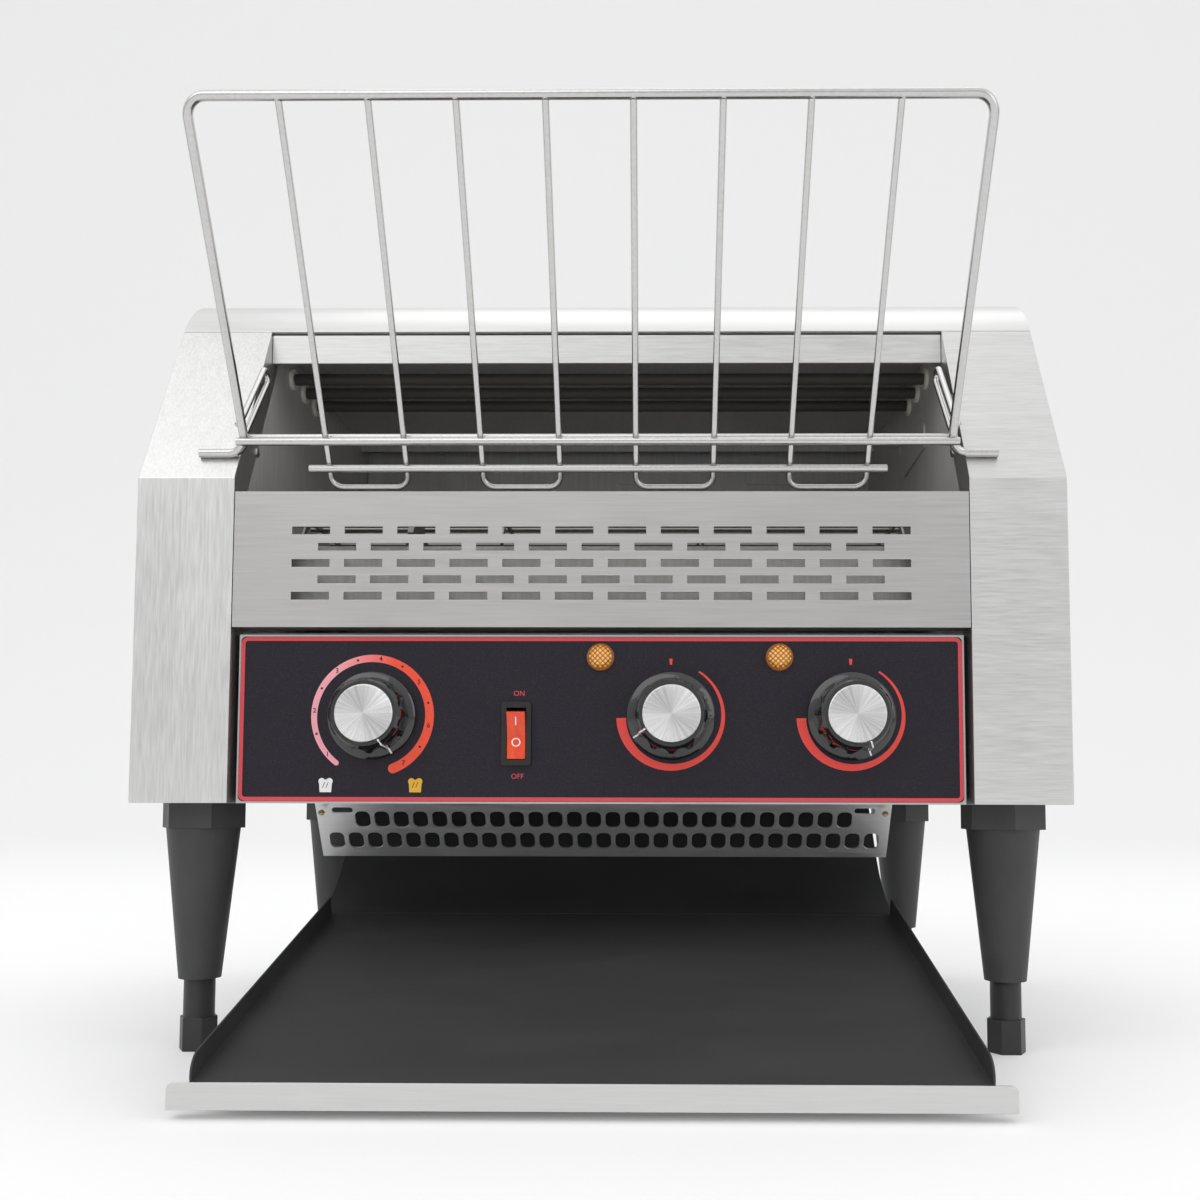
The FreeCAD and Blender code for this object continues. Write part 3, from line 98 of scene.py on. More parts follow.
def studio():
    """White surroundings, brighter above, with large soft lights."""
    world = bpy.data.worlds.new("studio")
    world.use_nodes = True
    tree = world.node_tree
    place = tree.nodes.new("ShaderNodeTexCoord")
    split = tree.nodes.new("ShaderNodeSeparateXYZ")
    rise = tree.nodes.new("ShaderNodeMapRange")
    tree.links.new(place.outputs["Generated"], split.inputs["Vector"])
    tree.links.new(split.outputs["Z"], rise.inputs["Value"])
    for socket, value in (("From Min", -0.15), ("From Max", 0.7), ("To Min", 0.62), ("To Max", 1.02)):
        rise.inputs[socket].default_value = value
    tree.links.new(rise.outputs["Result"], tree.nodes["Background"].inputs["Strength"])
    tree.nodes["Background"].inputs["Color"].default_value = (1.0, 1.0, 1.0, 1.0)
    bpy.context.scene.world = world
    bpy.context.scene.view_settings.view_transform = "Standard"
    softbox("key", (-1.0, -1.5, 1.9), (0.0, 0.0, 0.25), 2.4, 1.8, 12.5)
    softbox("fill", (1.9, -1.3, 1.0), (0.0, 0.0, 0.25), 0.9, 1.5, 4.5)
    softbox("top", (0.1, 0.5, 2.2), (0.0, 0.0, 0.3), 1.6, 1.2, 4.0)


def backdrop():
    """Pale sweep: a floor that curves up far behind the machine."""
    mesh = bpy.data.meshes.new("backdrop")
    shape = bmesh.new()
    near, far, radius, top, half_width, steps = -30.0, 3.0, 2.0, 7.0, 16.0, 12
    profile = [(near, 0.0), (far, 0.0)]
    for step in range(1, steps + 1):
        angle = math.pi / 2 * step / steps
        profile.append((far + radius * math.sin(angle), radius - radius * math.cos(angle)))
    profile.append((far + radius, top))
    rows = [[shape.verts.new((x, y, z)) for y, z in profile] for x in (-half_width, half_width)]
    for step in range(len(profile) - 1):
        shape.faces.new((rows[0][step], rows[1][step], rows[1][step + 1], rows[0][step + 1]))
    shape.to_mesh(mesh)
    shape.free()
    for face in mesh.polygons:
        face.use_smooth = True
    sweep = bpy.data.objects.new("backdrop", mesh)
    mesh.materials.append(white_paint())
    bpy.context.scene.collection.objects.link(sweep)


# Materials

class Nodes:
    """A node material being built, with its shader and its coordinates at hand."""

    def __init__(self, name, colour, roughness, metallic=0.0):
        self.material = bpy.data.materials.new(name)
        self.material.use_nodes = True
        self.tree = self.material.node_tree
        self.shader = self.tree.nodes["Principled BSDF"]
        self.set("Base Color", (*colour, 1.0))
        self.set("Roughness", roughness)
        self.set("Metallic", metallic)
        self.bump_normal = None

    def set(self, socket, value):
        self.shader.inputs[socket].default_value = value

    def node(self, kind, **settings):
        made = self.tree.nodes.new(kind)
        for name, value in settings.items():
            setattr(made, name, value)
        return made

    def link(self, output, target):
        self.tree.links.new(output, target)

    def coordinates(self, scale=(1.0, 1.0, 1.0), turn=(0.0, 0.0, 0.0), offset=(0.0, 0.0, 0.0)):
        place = self.node("ShaderNodeTexCoord")
        mapping = self.node("ShaderNodeMapping")
        mapping.inputs["Scale"].default_value = scale
        mapping.inputs["Rotation"].default_value = turn
        mapping.inputs["Location"].default_value = offset
        self.link(place.outputs["Object"], mapping.inputs["Vector"])
        return mapping.outputs["Vector"]

    def noise(self, scale, detail=2.0, roughness=0.5):
        """Noise whose waves per metre along X, Y and Z are the scale."""
        texture = self.node("ShaderNodeTexNoise")
        texture.inputs["Scale"].default_value = 1.0
        texture.inputs["Detail"].default_value = detail
        texture.inputs["Roughness"].default_value = roughness
        self.link(self.coordinates(scale), texture.inputs["Vector"])
        return texture.outputs["Fac"]

    def spread(self, value, low, high, start=0.3, end=0.7):
        """Maps a value's range from start to end onto low to high."""
        reach = self.node("ShaderNodeMapRange")
        reach.inputs["From Min"].default_value = start
        reach.inputs["From Max"].default_value = end
        reach.inputs["To Min"].default_value = low
        reach.inputs["To Max"].default_value = high
        self.link(value, reach.inputs["Value"])
        return reach.outputs["Result"]

    def maths(self, first, second, operation="MULTIPLY"):
        worked = self.node("ShaderNodeMath", operation=operation)
        self.link(first, worked.inputs[0])
        if isinstance(second, float):
            worked.inputs[1].default_value = second
        else:
            self.link(second, worked.inputs[1])
        return worked.outputs["Value"]

    def shade(self, factor):
        """Multiplies the colour so far by a varying factor."""
        mix = self.node("ShaderNodeVectorMath", operation="SCALE")
        source = self.shader.inputs["Base Color"]
        if source.is_linked:
            self.link(source.links[0].from_socket, mix.inputs[0])
        else:
            mix.inputs[0].default_value = source.default_value[:3]
        self.link(factor, mix.inputs["Scale"])
        self.link(mix.outputs["Vector"], source)
        return self

    def blend_colour(self, other, factor):
        """Mixes another colour into the colour so far."""
        mix = self.node("ShaderNodeMix", data_type="RGBA")
        source = self.shader.inputs["Base Color"]
        if source.is_linked:
            self.link(source.links[0].from_socket, mix.inputs["A"])
        else:
            mix.inputs["A"].default_value = source.default_value
        mix.inputs["B"].default_value = (*other, 1.0)
        self.link(factor, mix.inputs["Factor"])
        self.link(mix.outputs["Result"], source)
        return self

    def rough(self, value):
        self.link(value, self.shader.inputs["Roughness"])
        return self

    def bump(self, height, strength, distance=0.0005):
        bump = self.node("ShaderNodeBump")
        bump.inputs["Strength"].default_value = strength
        bump.inputs["Distance"].default_value = distance
        self.link(height, bump.inputs["Height"])
        if self.bump_normal:
            self.link(self.bump_normal, bump.inputs["Normal"])
        self.bump_normal = bump.outputs["Normal"]
        self.link(self.bump_normal, self.shader.inputs["Normal"])
        return self


def white_paint():
    """Matte white of the studio's sweep, faintly lit from within."""
    made = Nodes("backdrop_paint", (0.83, 0.83, 0.83), 0.95)
    made.shade(made.spread(made.noise((900.0, 900.0, 900.0)), 0.995, 1.005))
    made.set("Specular IOR Level", 0.1)
    made.set("Emission Color", (1.0, 1.0, 1.0, 1.0))
    made.set("Emission Strength", 0.1)
    return made.material


def brushed(name, colour, roughness, grain, depth=0.1, contrast=0.035):
    """Brushed sheet: fine lines along the short axis of grain, and faint smudges."""
    made = Nodes(name, colour, roughness, 1.0)
    fine = made.noise(grain, detail=3.0)
    broad = made.noise(tuple(v / 5 for v in grain), detail=2.0)
    blotch = made.noise((11.0, 11.0, 11.0), detail=3.0)
    made.shade(made.spread(fine, 1.0 - contrast, 1.0 + contrast))
    made.shade(made.spread(broad, 1.0 - contrast / 3, 1.0 + contrast / 3))
    made.shade(made.spread(blotch, 0.985, 1.01))
    lines = made.spread(fine, roughness - 0.05, roughness + 0.07)
    made.rough(made.maths(lines, made.spread(blotch, 0.96, 1.05)))
    made.bump(fine, depth, 0.0001)
    return made.material


def oven_steel():
    """Sheet dulled and browned by heat."""
    made = Nodes("oven_steel", (0.56, 0.555, 0.55), 0.52, 0.3)
    cloud = made.noise((14.0, 14.0, 14.0), detail=4.0)
    fine = made.noise((500.0, 500.0, 20.0), detail=2.0)
    made.blend_colour((0.58, 0.54, 0.49), made.spread(cloud, 0.0, 0.5, 0.4, 0.75))
    made.shade(made.spread(fine, 0.92, 1.08))
    made.rough(made.spread(cloud, 0.4, 0.6))
    made.bump(fine, 0.08, 0.0002)
    return made.material


def zinc():
    """Spangled zinc coating."""
    made = Nodes("galvanised_pan", (0.5, 0.51, 0.52), 0.45, 0.85)
    spangle = made.node("ShaderNodeTexVoronoi")
    spangle.inputs["Scale"].default_value = 140.0
    made.link(made.coordinates(), spangle.inputs["Vector"])
    grey = made.node("ShaderNodeRGBToBW")
    made.link(spangle.outputs["Color"], grey.inputs["Color"])
    made.shade(made.spread(grey.outputs["Val"], 0.85, 1.12, 0.0, 1.0))
    made.rough(made.spread(grey.outputs["Val"], 0.38, 0.56, 0.0, 1.0))
    return made.material


def dark_panel():
    """Printed polycarbonate: aubergine black with a fine sparkle."""
    made = Nodes("dark_panel", (0.0125, 0.0095, 0.0165), 0.34)
    speck = made.noise((2600.0, 2600.0, 2600.0), detail=1.0)
    cloud = made.noise((30.0, 30.0, 30.0))
    made.blend_colour((0.05, 0.043, 0.06), made.spread(speck, 0.0, 0.8, 0.58, 0.75))
    made.rough(made.spread(cloud, 0.32, 0.42))
    made.bump(speck, 0.12, 0.0001)
    made.set("Specular IOR Level", 0.25)
    return made.material


def enamel(name, colour, roughness, speck_size=900.0, depth=0.08):
    """Baked matte coating with a fine orange peel."""
    made = Nodes(name, colour, roughness)
    made.set("Specular IOR Level", 0.3)
    peel = made.noise((speck_size,) * 3, detail=2.0)
    worn = made.noise((12.0, 40.0, 12.0), detail=5.0)
    made.shade(made.spread(worn, 0.9, 1.12))
    made.rough(made.spread(worn, roughness - 0.05, roughness + 0.07))
    made.bump(peel, depth, 0.0002)
    return made.material


def moulded(name, colour, roughness, depth=0.25, texture=1400.0):
    """Moulded plastic with a sparked texture."""
    made = Nodes(name, colour, roughness)
    pit = made.noise((texture,) * 3, detail=2.0)
    scuff = made.noise((60.0, 60.0, 25.0), detail=5.0, roughness=0.65)
    made.shade(made.spread(scuff, 0.86, 1.16))
    made.rough(made.spread(scuff, roughness - 0.06, roughness + 0.08))
    made.bump(pit, depth, 0.0002)
    made.set("Specular IOR Level", 0.35)
    return made.material


def glossy(name, colour, roughness=0.16, coat=0.4):
    """Polished plastic or glaze with a clear coat."""
    made = Nodes(name, colour, roughness)
    cloud = made.noise((220.0, 220.0, 220.0), detail=3.0)
    made.shade(made.spread(cloud, 0.94, 1.08))
    made.rough(made.spread(cloud, roughness - 0.03, roughness + 0.06))
    made.set("Coat Weight", coat)
    made.set("Coat Roughness", 0.08)
    return made.material


def bright_wire(name, colour, roughness):
    """Drawn or machined metal."""
    made = Nodes(name, colour, roughness, 1.0)
    drawn = made.noise((700.0, 700.0, 700.0), detail=3.0)
    made.shade(made.spread(drawn, 0.93, 1.05))
    made.rough(made.spread(drawn, roughness - 0.04, roughness + 0.07))
    return made.material


def spun_cap(name, x):
    """Aluminium turned on a lathe, with painted reflection: radial highlight streaks and two light and two
    dark sectors, painted into the colour, run out from the middle.
    """
    made = Nodes(name, (0.62, 0.62, 0.62), 0.3, 1.0)
    made.set("Anisotropic", 0.8)
    tangent = made.node("ShaderNodeTangent", direction_type="RADIAL", axis="Y")
    made.link(tangent.outputs["Tangent"], made.shader.inputs["Tangent"])
    around = made.node("ShaderNodeTexGradient", gradient_type="RADIAL")
    flat = made.coordinates(turn=(-math.pi / 2, 0.0, 0.0), offset=(-x * MM, -KNOB_Z * MM, 0.0))
    made.link(flat, around.inputs["Vector"])
    # Painted highlight: radial streaks of lighter and darker colour, from noise along the angle round the
    # cap.
    painted_highlight_streaks = made.node("ShaderNodeTexNoise", noise_dimensions="1D")
    painted_highlight_streaks.inputs["Scale"].default_value = 42.0
    painted_highlight_streaks.inputs["Detail"].default_value = 5.0
    painted_highlight_streaks.inputs["Roughness"].default_value = 0.6
    made.link(around.outputs["Fac"], painted_highlight_streaks.inputs["W"])
    # Painted reflection: two lighter and two darker sectors round the cap.
    painted_sheen_sectors = made.maths(made.maths(around.outputs["Fac"], 4 * math.pi), 0.0, "SINE")
    made.shade(made.spread(painted_highlight_streaks.outputs["Fac"], 0.86, 1.16))
    made.shade(made.spread(painted_sheen_sectors, 0.9, 1.14, -1.0, 1.0))
    fine = made.noise((2200.0, 2200.0, 2200.0), detail=1.0)
    made.rough(made.spread(fine, 0.26, 0.36))
    return made.material


def amber():
    """Amber lens with crossed ribs moulded inside, its colour painted lighter on the ribs and darker
    between them as highlight and shade.
    """
    made = Nodes("lens_amber", (0.78, 0.3, 0.03), 0.16)
    ribs = []
    for turn in (math.pi / 4, -math.pi / 4):
        wave = made.node("ShaderNodeTexWave", wave_type="BANDS", bands_direction="X")
        wave.inputs["Scale"].default_value = 170.0
        made.link(made.coordinates(turn=(0.0, turn, 0.0)), wave.inputs["Vector"])
        ribs.append(wave.outputs["Fac"])
    lattice = made.maths(ribs[0], ribs[1])
    # Painted highlight on the rib crossings and painted shade in the grooves between the ribs.
    made.blend_colour((1.0, 0.62, 0.12), made.spread(lattice, 0.0, 0.9, 0.2, 0.8))
    made.blend_colour((0.16, 0.045, 0.008), made.spread(lattice, 0.85, 0.0, 0.0, 0.12))
    made.bump(lattice, 0.7, 0.0004)
    made.set("Coat Weight", 0.8)
    made.set("Coat Roughness", 0.05)
    made.set("Subsurface Weight", 0.15)
    made.set("Subsurface Scale", 0.002)
    return made.material


def red_rocker():
    """Translucent red plastic, lit a little from within."""
    made = Nodes("rocker_red", (0.62, 0.028, 0.004), 0.2)
    cloud = made.noise((260.0, 260.0, 120.0), detail=2.0)
    made.blend_colour((0.9, 0.11, 0.012), made.spread(cloud, 0.0, 0.45))
    made.rough(made.spread(cloud, 0.15, 0.28))
    made.set("Coat Weight", 0.3)
    made.set("Coat Roughness", 0.05)
    made.set("Subsurface Weight", 0.2)
    made.set("Subsurface Scale", 0.003)
    made.set("Emission Color", (1.0, 0.12, 0.02, 1.0))
    made.set("Emission Strength", 0.1)
    return made.material


def ink(name, colour):
    """Screen printing ink."""
    made = Nodes(name, colour, 0.42)
    dots = made.noise((1800.0, 1800.0, 1800.0), detail=1.0)
    return made.shade(made.spread(dots, 0.93, 1.05)).material


def speed_ink():
    """Pale pink at the slow end of the dial, orange red at the fast end."""
    made = Nodes("speed_ink", (0.86, 0.36, 0.42), 0.42)
    place = made.node("ShaderNodeTexCoord")
    split = made.node("ShaderNodeSeparateXYZ")
    made.link(place.outputs["Object"], split.inputs["Vector"])
    across = made.spread(split.outputs["X"], 0.0, 1.0, -0.134, -0.104)
    made.blend_colour((0.86, 0.075, 0.03), across)
    dots = made.noise((1800.0, 1800.0, 1800.0), detail=1.0)
    return made.shade(made.spread(dots, 0.94, 1.05)).material


# One finish for each material slot
PAINT = {
    "brushed_steel_body": brushed(
        "steel_along", (0.63, 0.63, 0.625), 0.37, (60.0, 1050.0, 1050.0), 0.14, 0.075
    ),
    "brushed_steel_guard": brushed(
        "steel_guard", (0.49, 0.48, 0.475), 0.36, (30.0, 1400.0, 1400.0), 0.1, 0.05
    ),
    "oven_steel": oven_steel(),
    "galvanised_pan": zinc(),
    "dark_panel": dark_panel(),
    "black_tray": enamel("black_tray", (0.038, 0.038, 0.039), 0.6),
    "chrome_wire": bright_wire("chrome_wire", (0.56, 0.555, 0.55), 0.16),
    "belt_wire": bright_wire("belt_wire", (0.3, 0.29, 0.275), 0.36),
    "leg_plastic": moulded("leg_plastic", (0.046, 0.046, 0.048), 0.52),
    "foot_plastic": moulded("foot_plastic", (0.03, 0.03, 0.032), 0.42, depth=0.12),
    "knob_plastic": glossy("knob_plastic", (0.007, 0.007, 0.008), 0.1, 0.7),
    "knob_cap_metal": spun_cap("cap_metal", KNOBS["speed_knob"][0]),
    "machined_steel": bright_wire("machined_steel", (0.6, 0.6, 0.6), 0.28),
    "sprocket_steel": bright_wire("sprocket_steel", (0.3, 0.29, 0.28), 0.42),
    "bush_bronze": bright_wire("bush_bronze", (0.5, 0.33, 0.15), 0.4),
    "control_body_plastic": moulded("control_body_plastic", (0.016, 0.016, 0.017), 0.38, depth=0.12),
    "rocker_red": red_rocker(),
    "lens_amber": amber(),
    "motor_metal": bright_wire("motor_metal", (0.38, 0.38, 0.4), 0.4),
    "heater_sheath": enamel("heater_sheath", (0.07, 0.062, 0.055), 0.6, 1500.0, 0.2),
    "ceramic": glossy("ceramic", (0.78, 0.75, 0.68), 0.3, 0.2),
    "rubber_black": moulded("rubber_black", (0.018, 0.018, 0.018), 0.6),
}
UPRIGHT_STEEL = brushed("steel_upright", (0.64, 0.64, 0.635), 0.38, (1050.0, 1050.0, 60.0), 0.16, 0.09)
SMOOTH_STEEL = brushed("steel_smooth", (0.66, 0.66, 0.655), 0.34, (40.0, 1200.0, 1200.0), 0.08, 0.035)
# Brighter copy of the brushed steel: painted light for the deflector plate, which faces up.
PAINTED_LIGHT_STEEL = brushed("steel_pale", (0.84, 0.84, 0.835), 0.36, (40.0, 1200.0, 1200.0), 0.06, 0.03)
BRASS = bright_wire("brass_screw", (0.5, 0.36, 0.2), 0.3)
BOLT = bright_wire("bolt_steel", (0.42, 0.41, 0.4), 0.34)
COPPER = glossy("lamp_bezel", (0.3, 0.1, 0.02), 0.18)
INK_RED = ink("ink_red", (0.66, 0.055, 0.075))
INK_SCARLET = ink("ink_scarlet", (0.78, 0.055, 0.04))
INK_WHITE = ink("ink_white", (0.8, 0.8, 0.8))
INK_BLACK = ink("ink_black", (0.012, 0.01, 0.012))
INK_YELLOW = ink("ink_yellow", (0.75, 0.42, 0.02))

# Nodes whose finish differs from their slot's
FINISH = {
    "lamp_housings": COPPER,
    "return_chute": PAINT["black_tray"],
    "cover_screws": BOLT,
}

for node, item in NODES.items():
    item.data.materials.clear()
    item.data.materials.append(FINISH.get(node, PAINT[SLOT_OF[node]]))


# Pieces from the CAD with softened edges

def add_piece(name, data, body, material):
    piece = bpy.data.objects.new(name, data)
    data.materials.clear()
    data.materials.append(material)
    bpy.context.scene.collection.objects.link(piece)
    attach(piece, body)
    return piece


def softened(node, width, material=None, segments=2, sharp=28.0):
    """The CAD shape with its edges rounded, in place of the node."""
    shape = bmesh.new()
    shape.from_mesh(NODES[node].data)
    bmesh.ops.remove_doubles(shape, verts=shape.verts, dist=1e-6)
    bmesh.ops.dissolve_limit(shape, angle_limit=math.radians(0.6), verts=shape.verts, edges=shape.edges)
    mesh = bpy.data.meshes.new(f"{node}_finished")
    shape.to_mesh(mesh)
    shape.free()
    for face in mesh.polygons:
        face.use_smooth = True
    mesh.set_sharp_from_angle(angle=math.radians(sharp))
    slot = SLOT_OF[node]
    piece = add_piece(f"{node}_finished", mesh, BODY_OF[node], material or PAINT[slot])
    round_off = piece.modifiers.new("edges", "BEVEL")
    round_off.width = width * MM
    round_off.segments = segments
    round_off.limit_method = "ANGLE"
    round_off.angle_limit = math.radians(sharp)
    round_off.harden_normals = True
    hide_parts(node)
    return piece


softened("left_casing", 0.4, UPRIGHT_STEEL)
softened("right_casing", 0.4)
softened("roof_cover", 0.4, SMOOTH_STEEL)
softened("front_lintel", 0.3)
softened("vent_panel", 0.3)
softened("control_fascia", 0.3)
softened("back_cover", 0.3)
softened("tray_front_bar", 0.3, SMOOTH_STEEL)
softened("discharge_tray", 0.3)
# The deflector takes the brighter steel copy, which is painted light.
softened("deflector_plate", 0.25, PAINTED_LIGHT_STEEL)
softened("switch_housing", 0.35)
for corner in ("front_left", "front_right", "back_left", "back_right"):
    softened(f"{corner}_leg", 0.7, segments=3)
    softened(f"{corner}_foot", 0.5)
for knob, (x, _) in KNOBS.items():
    softened(knob, 0.45, segments=3)
    softened(f"{knob}_cap", 0.2, spun_cap(f"{knob}_cap_metal", x))


# Rack

RACK_LEAN = math.radians(33.8)
RACK_FOOT = Vector((-2.0, -97.8, 304.0))
RACK_SIDE = 179.0
RACK_TOP = 161.0
RACK_REST = 203.0
FRAME_WIRE, BAR_WIRE, THIN_WIRE = 4.5, 4.0, 3.2
BAR_ALONG = 7.0
BAR_AWAY = 3.3
LOW_BAR_HALF = 147.0
HOOK_PITCH = 78.5
HOOK_HALF = 19.8
HOOK_DROP = 18.0
HAIRPIN_LEAN = math.radians(40.0)
HAIRPIN_LENGTH, HAIRPIN_WIDTH = 56.0, 8.0


def rounded(points, radius, steps=8):
    """A run of points with each corner replaced by an arc."""
    line = [points[0]]
    for before, corner, after in zip(points, points[1:], points[2:]):
        into = (before - corner).normalized()
        out = (after - corner).normalized()
        half = into.angle(out) / 2
        reach = radius / math.tan(half)
        centre = corner + (into + out).normalized() * (radius / math.sin(half))
        first, last = corner + into * reach - centre, corner + out * reach - centre
        whole = first.angle(last)
        for step in range(steps + 1):
            part = whole * step / steps
            line.append(centre + (first * math.sin(whole - part) + last * math.sin(part)) / math.sin(whole))
    line.append(points[-1])
    return line


def wire(name, runs, thickness, body, material):
    """Round wires along lines of points in millimetres, as one mesh with closed ends."""
    data = bpy.data.curves.new(name, "CURVE")
    data.dimensions = "3D"
    data.bevel_depth = thickness / 2 * MM
    data.bevel_resolution = 5
    data.use_fill_caps = True
    for run in runs:
        spline = data.splines.new("POLY")
        spline.points.add(len(run) - 1)
        for point, place in zip(spline.points, run):
            point.co = (*(place * MM), 1.0)
        spline.use_smooth = True
    return add_piece(name, data, body, material)


def on_rack(x, along, away=0.0):
    """A point of the rack: along its slope and towards the user."""
    up = Vector((0.0, -math.sin(RACK_LEAN), math.cos(RACK_LEAN)))
    out = Vector((0.0, -math.cos(RACK_LEAN), -math.sin(RACK_LEAN)))
    return RACK_FOOT + Vector((x, 0.0, 0.0)) + up * along + out * away


def welds(name, places, size):
    """Small flattened beads where wires cross."""
    mesh = bpy.data.meshes.new(name)
    shape = bmesh.new()
    for place in places:
        put = Matrix.Translation(place * MM) @ Matrix.Diagonal((1.25, 1.0, 0.8, 1.0))
        bmesh.ops.create_icosphere(shape, subdivisions=2, radius=size * MM, matrix=put)
    shape.to_mesh(mesh)
    shape.free()
    for face in mesh.polygons:
        face.use_smooth = True
    add_piece(name, mesh, "loading_rack", PAINT["chrome_wire"])


def rack():
    """Frame, bars, hooked wires, hairpins and welds. The frame stands for the CAD rack."""
    slot = "chrome_wire"
    chrome = PAINT[slot]
    beads = []

    outer = [
        (-RACK_REST, 0.0),
        (-RACK_SIDE, 0.0),
        (-RACK_SIDE, RACK_TOP),
        (RACK_SIDE, RACK_TOP),
        (RACK_SIDE, 0.0),
        (RACK_REST, 0.0),
    ]
    frame_line = rounded([on_rack(x, z) for x, z in outer], 9.0)
    made = wire("rack_frame", [frame_line], FRAME_WIRE, "loading_rack", chrome)
    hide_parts("loading_rack")

    reach = RACK_SIDE + 3.0
    bars = [[on_rack(x, BAR_ALONG, away) for x in (-reach, reach)] for away in (-BAR_AWAY, BAR_AWAY)]
    bars.append([on_rack(x, -BAR_ALONG, BAR_AWAY) for x in (-LOW_BAR_HALF, LOW_BAR_HALF)])
    wire("rack_bars", bars, BAR_WIRE, "loading_rack", chrome)

    hooks = []
    for step in range(4):
        x = HOOK_PITCH * (step - 1.5)
        left, right = x - HOOK_HALF, x + HOOK_HALF
        turns = [(left, RACK_TOP), (left, -HOOK_DROP), (right, -HOOK_DROP), (right, RACK_TOP)]
        hooks.append(rounded([on_rack(a, z) for a, z in turns], 6.0))
        for a in (left, right):
            beads.append(on_rack(a, RACK_TOP - 1.0, 0.3))
            beads += [on_rack(a, BAR_ALONG, away) for away in (1.6, -1.6)]
            beads.append(on_rack(a, -BAR_ALONG, 1.6))
    wire("rack_hooks", hooks, THIN_WIRE, "loading_rack", chrome)

    pins = []
    turn = RACK_LEAN + HAIRPIN_LEAN
    pin = ((0.0, 0.0), (HAIRPIN_LENGTH, 0.0), (HAIRPIN_LENGTH, HAIRPIN_WIDTH), (0.0, HAIRPIN_WIDTH))
    for x in (-RACK_SIDE - 1.5, RACK_SIDE + 1.5):
        run = []
        for a, b in pin:
            along = BAR_ALONG + a * math.cos(turn) + b * math.sin(turn)
            away = -BAR_AWAY - a * math.sin(turn) + b * math.cos(turn)
            run.append(on_rack(x, along, away))
        pins.append(rounded(run, HAIRPIN_WIDTH / 2 - 0.05))
        beads += [run[0], run[-1]]
    wire("rack_hairpins", pins, THIN_WIRE, "loading_rack", chrome)
    welds("rack_welds", beads, 2.0)


rack()


# Print on the control panel

def flat_piece(name, outlines, material, lift=0.03):
    """Thin print on the panel: each outline is a run of (x, z) in millimetres."""
    mesh = bpy.data.meshes.new(name)
    shape = bmesh.new()
    for points in outlines:
        shape.faces.new([shape.verts.new((x * MM, (PANEL - lift) * MM, z * MM)) for x, z in points])
    bmesh.ops.triangulate(shape, faces=shape.faces)
    bmesh.ops.recalc_face_normals(shape, faces=shape.faces)
    for face in shape.faces:
        if face.normal.y > 0:
            face.normal_flip()
    shape.to_mesh(mesh)
    shape.free()
    add_piece(name, mesh, "cabinet", material)


def arc_band(centre, start, end, outer, thick, steps=72):
    """A band whose thickness changes along its arc. Angles go clockwise from 12 o'clock."""
    quads = []
    rims = []
    for step in range(steps + 1):
        share = step / steps
        angle = math.radians(start + (end - start) * share)
        outside = outer[0] + (outer[1] - outer[0]) * share
        inside = outside - (thick[0] + (thick[1] - thick[0]) * share)
        across = Vector((math.sin(angle), math.cos(angle)))
        rims.append((Vector(centre) + across * outside, Vector(centre) + across * inside))
    for (a, b), (c, d) in zip(rims, rims[1:]):
        quads.append([tuple(a), tuple(c), tuple(d), tuple(b)])
    return quads


def disc(centre, radius, steps=20):
    turns = [2 * math.pi * k / steps for k in range(steps)]
    return [(centre[0] + radius * math.sin(turn), centre[1] + radius * math.cos(turn)) for turn in turns]


def lettering(name, words, x, z, size, material, body="cabinet"):
    """Flat text centred at (x, z) just in front of the panel."""
    data = bpy.data.curves.new(name, "FONT")
    data.body = words
    data.size = size * MM
    data.align_x = "CENTER"
    data.align_y = "CENTER"
    piece = bpy.data.objects.new(name, data)
    data.materials.append(material)
    piece.location = Vector((x, PANEL - 0.06, z)) * MM
    piece.rotation_euler = (math.pi / 2, 0.0, 0.0)
    bpy.context.scene.collection.objects.link(piece)
    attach(piece, body)
    return piece


def border():
    """Red line round the panel, inside its edge."""
    x, low, high, radius, thick = 181.4, FLOOR + 1.2, FLOOR + 83.8, 3.5, 2.0
    outer, inner = [], []
    for cx, cz, start in (
        (x - radius, high - radius, 0.0),
        (x - radius, low + radius, 90.0),
        (radius - x, low + radius, 180.0),
        (radius - x, high - radius, 270.0),
    ):
        for step in range(7):
            angle = math.radians(start + 15.0 * step)
            outer.append((cx + radius * math.sin(angle), cz + radius * math.cos(angle)))
            inner.append((cx + (radius - thick) * math.sin(angle), cz + (radius - thick) * math.cos(angle)))
    outer.append(outer[0])
    inner.append(inner[0])
    quads = [[a, b, d, c] for a, b, c, d in zip(outer, outer[1:], inner, inner[1:])]
    flat_piece("panel_border", quads, INK_RED)


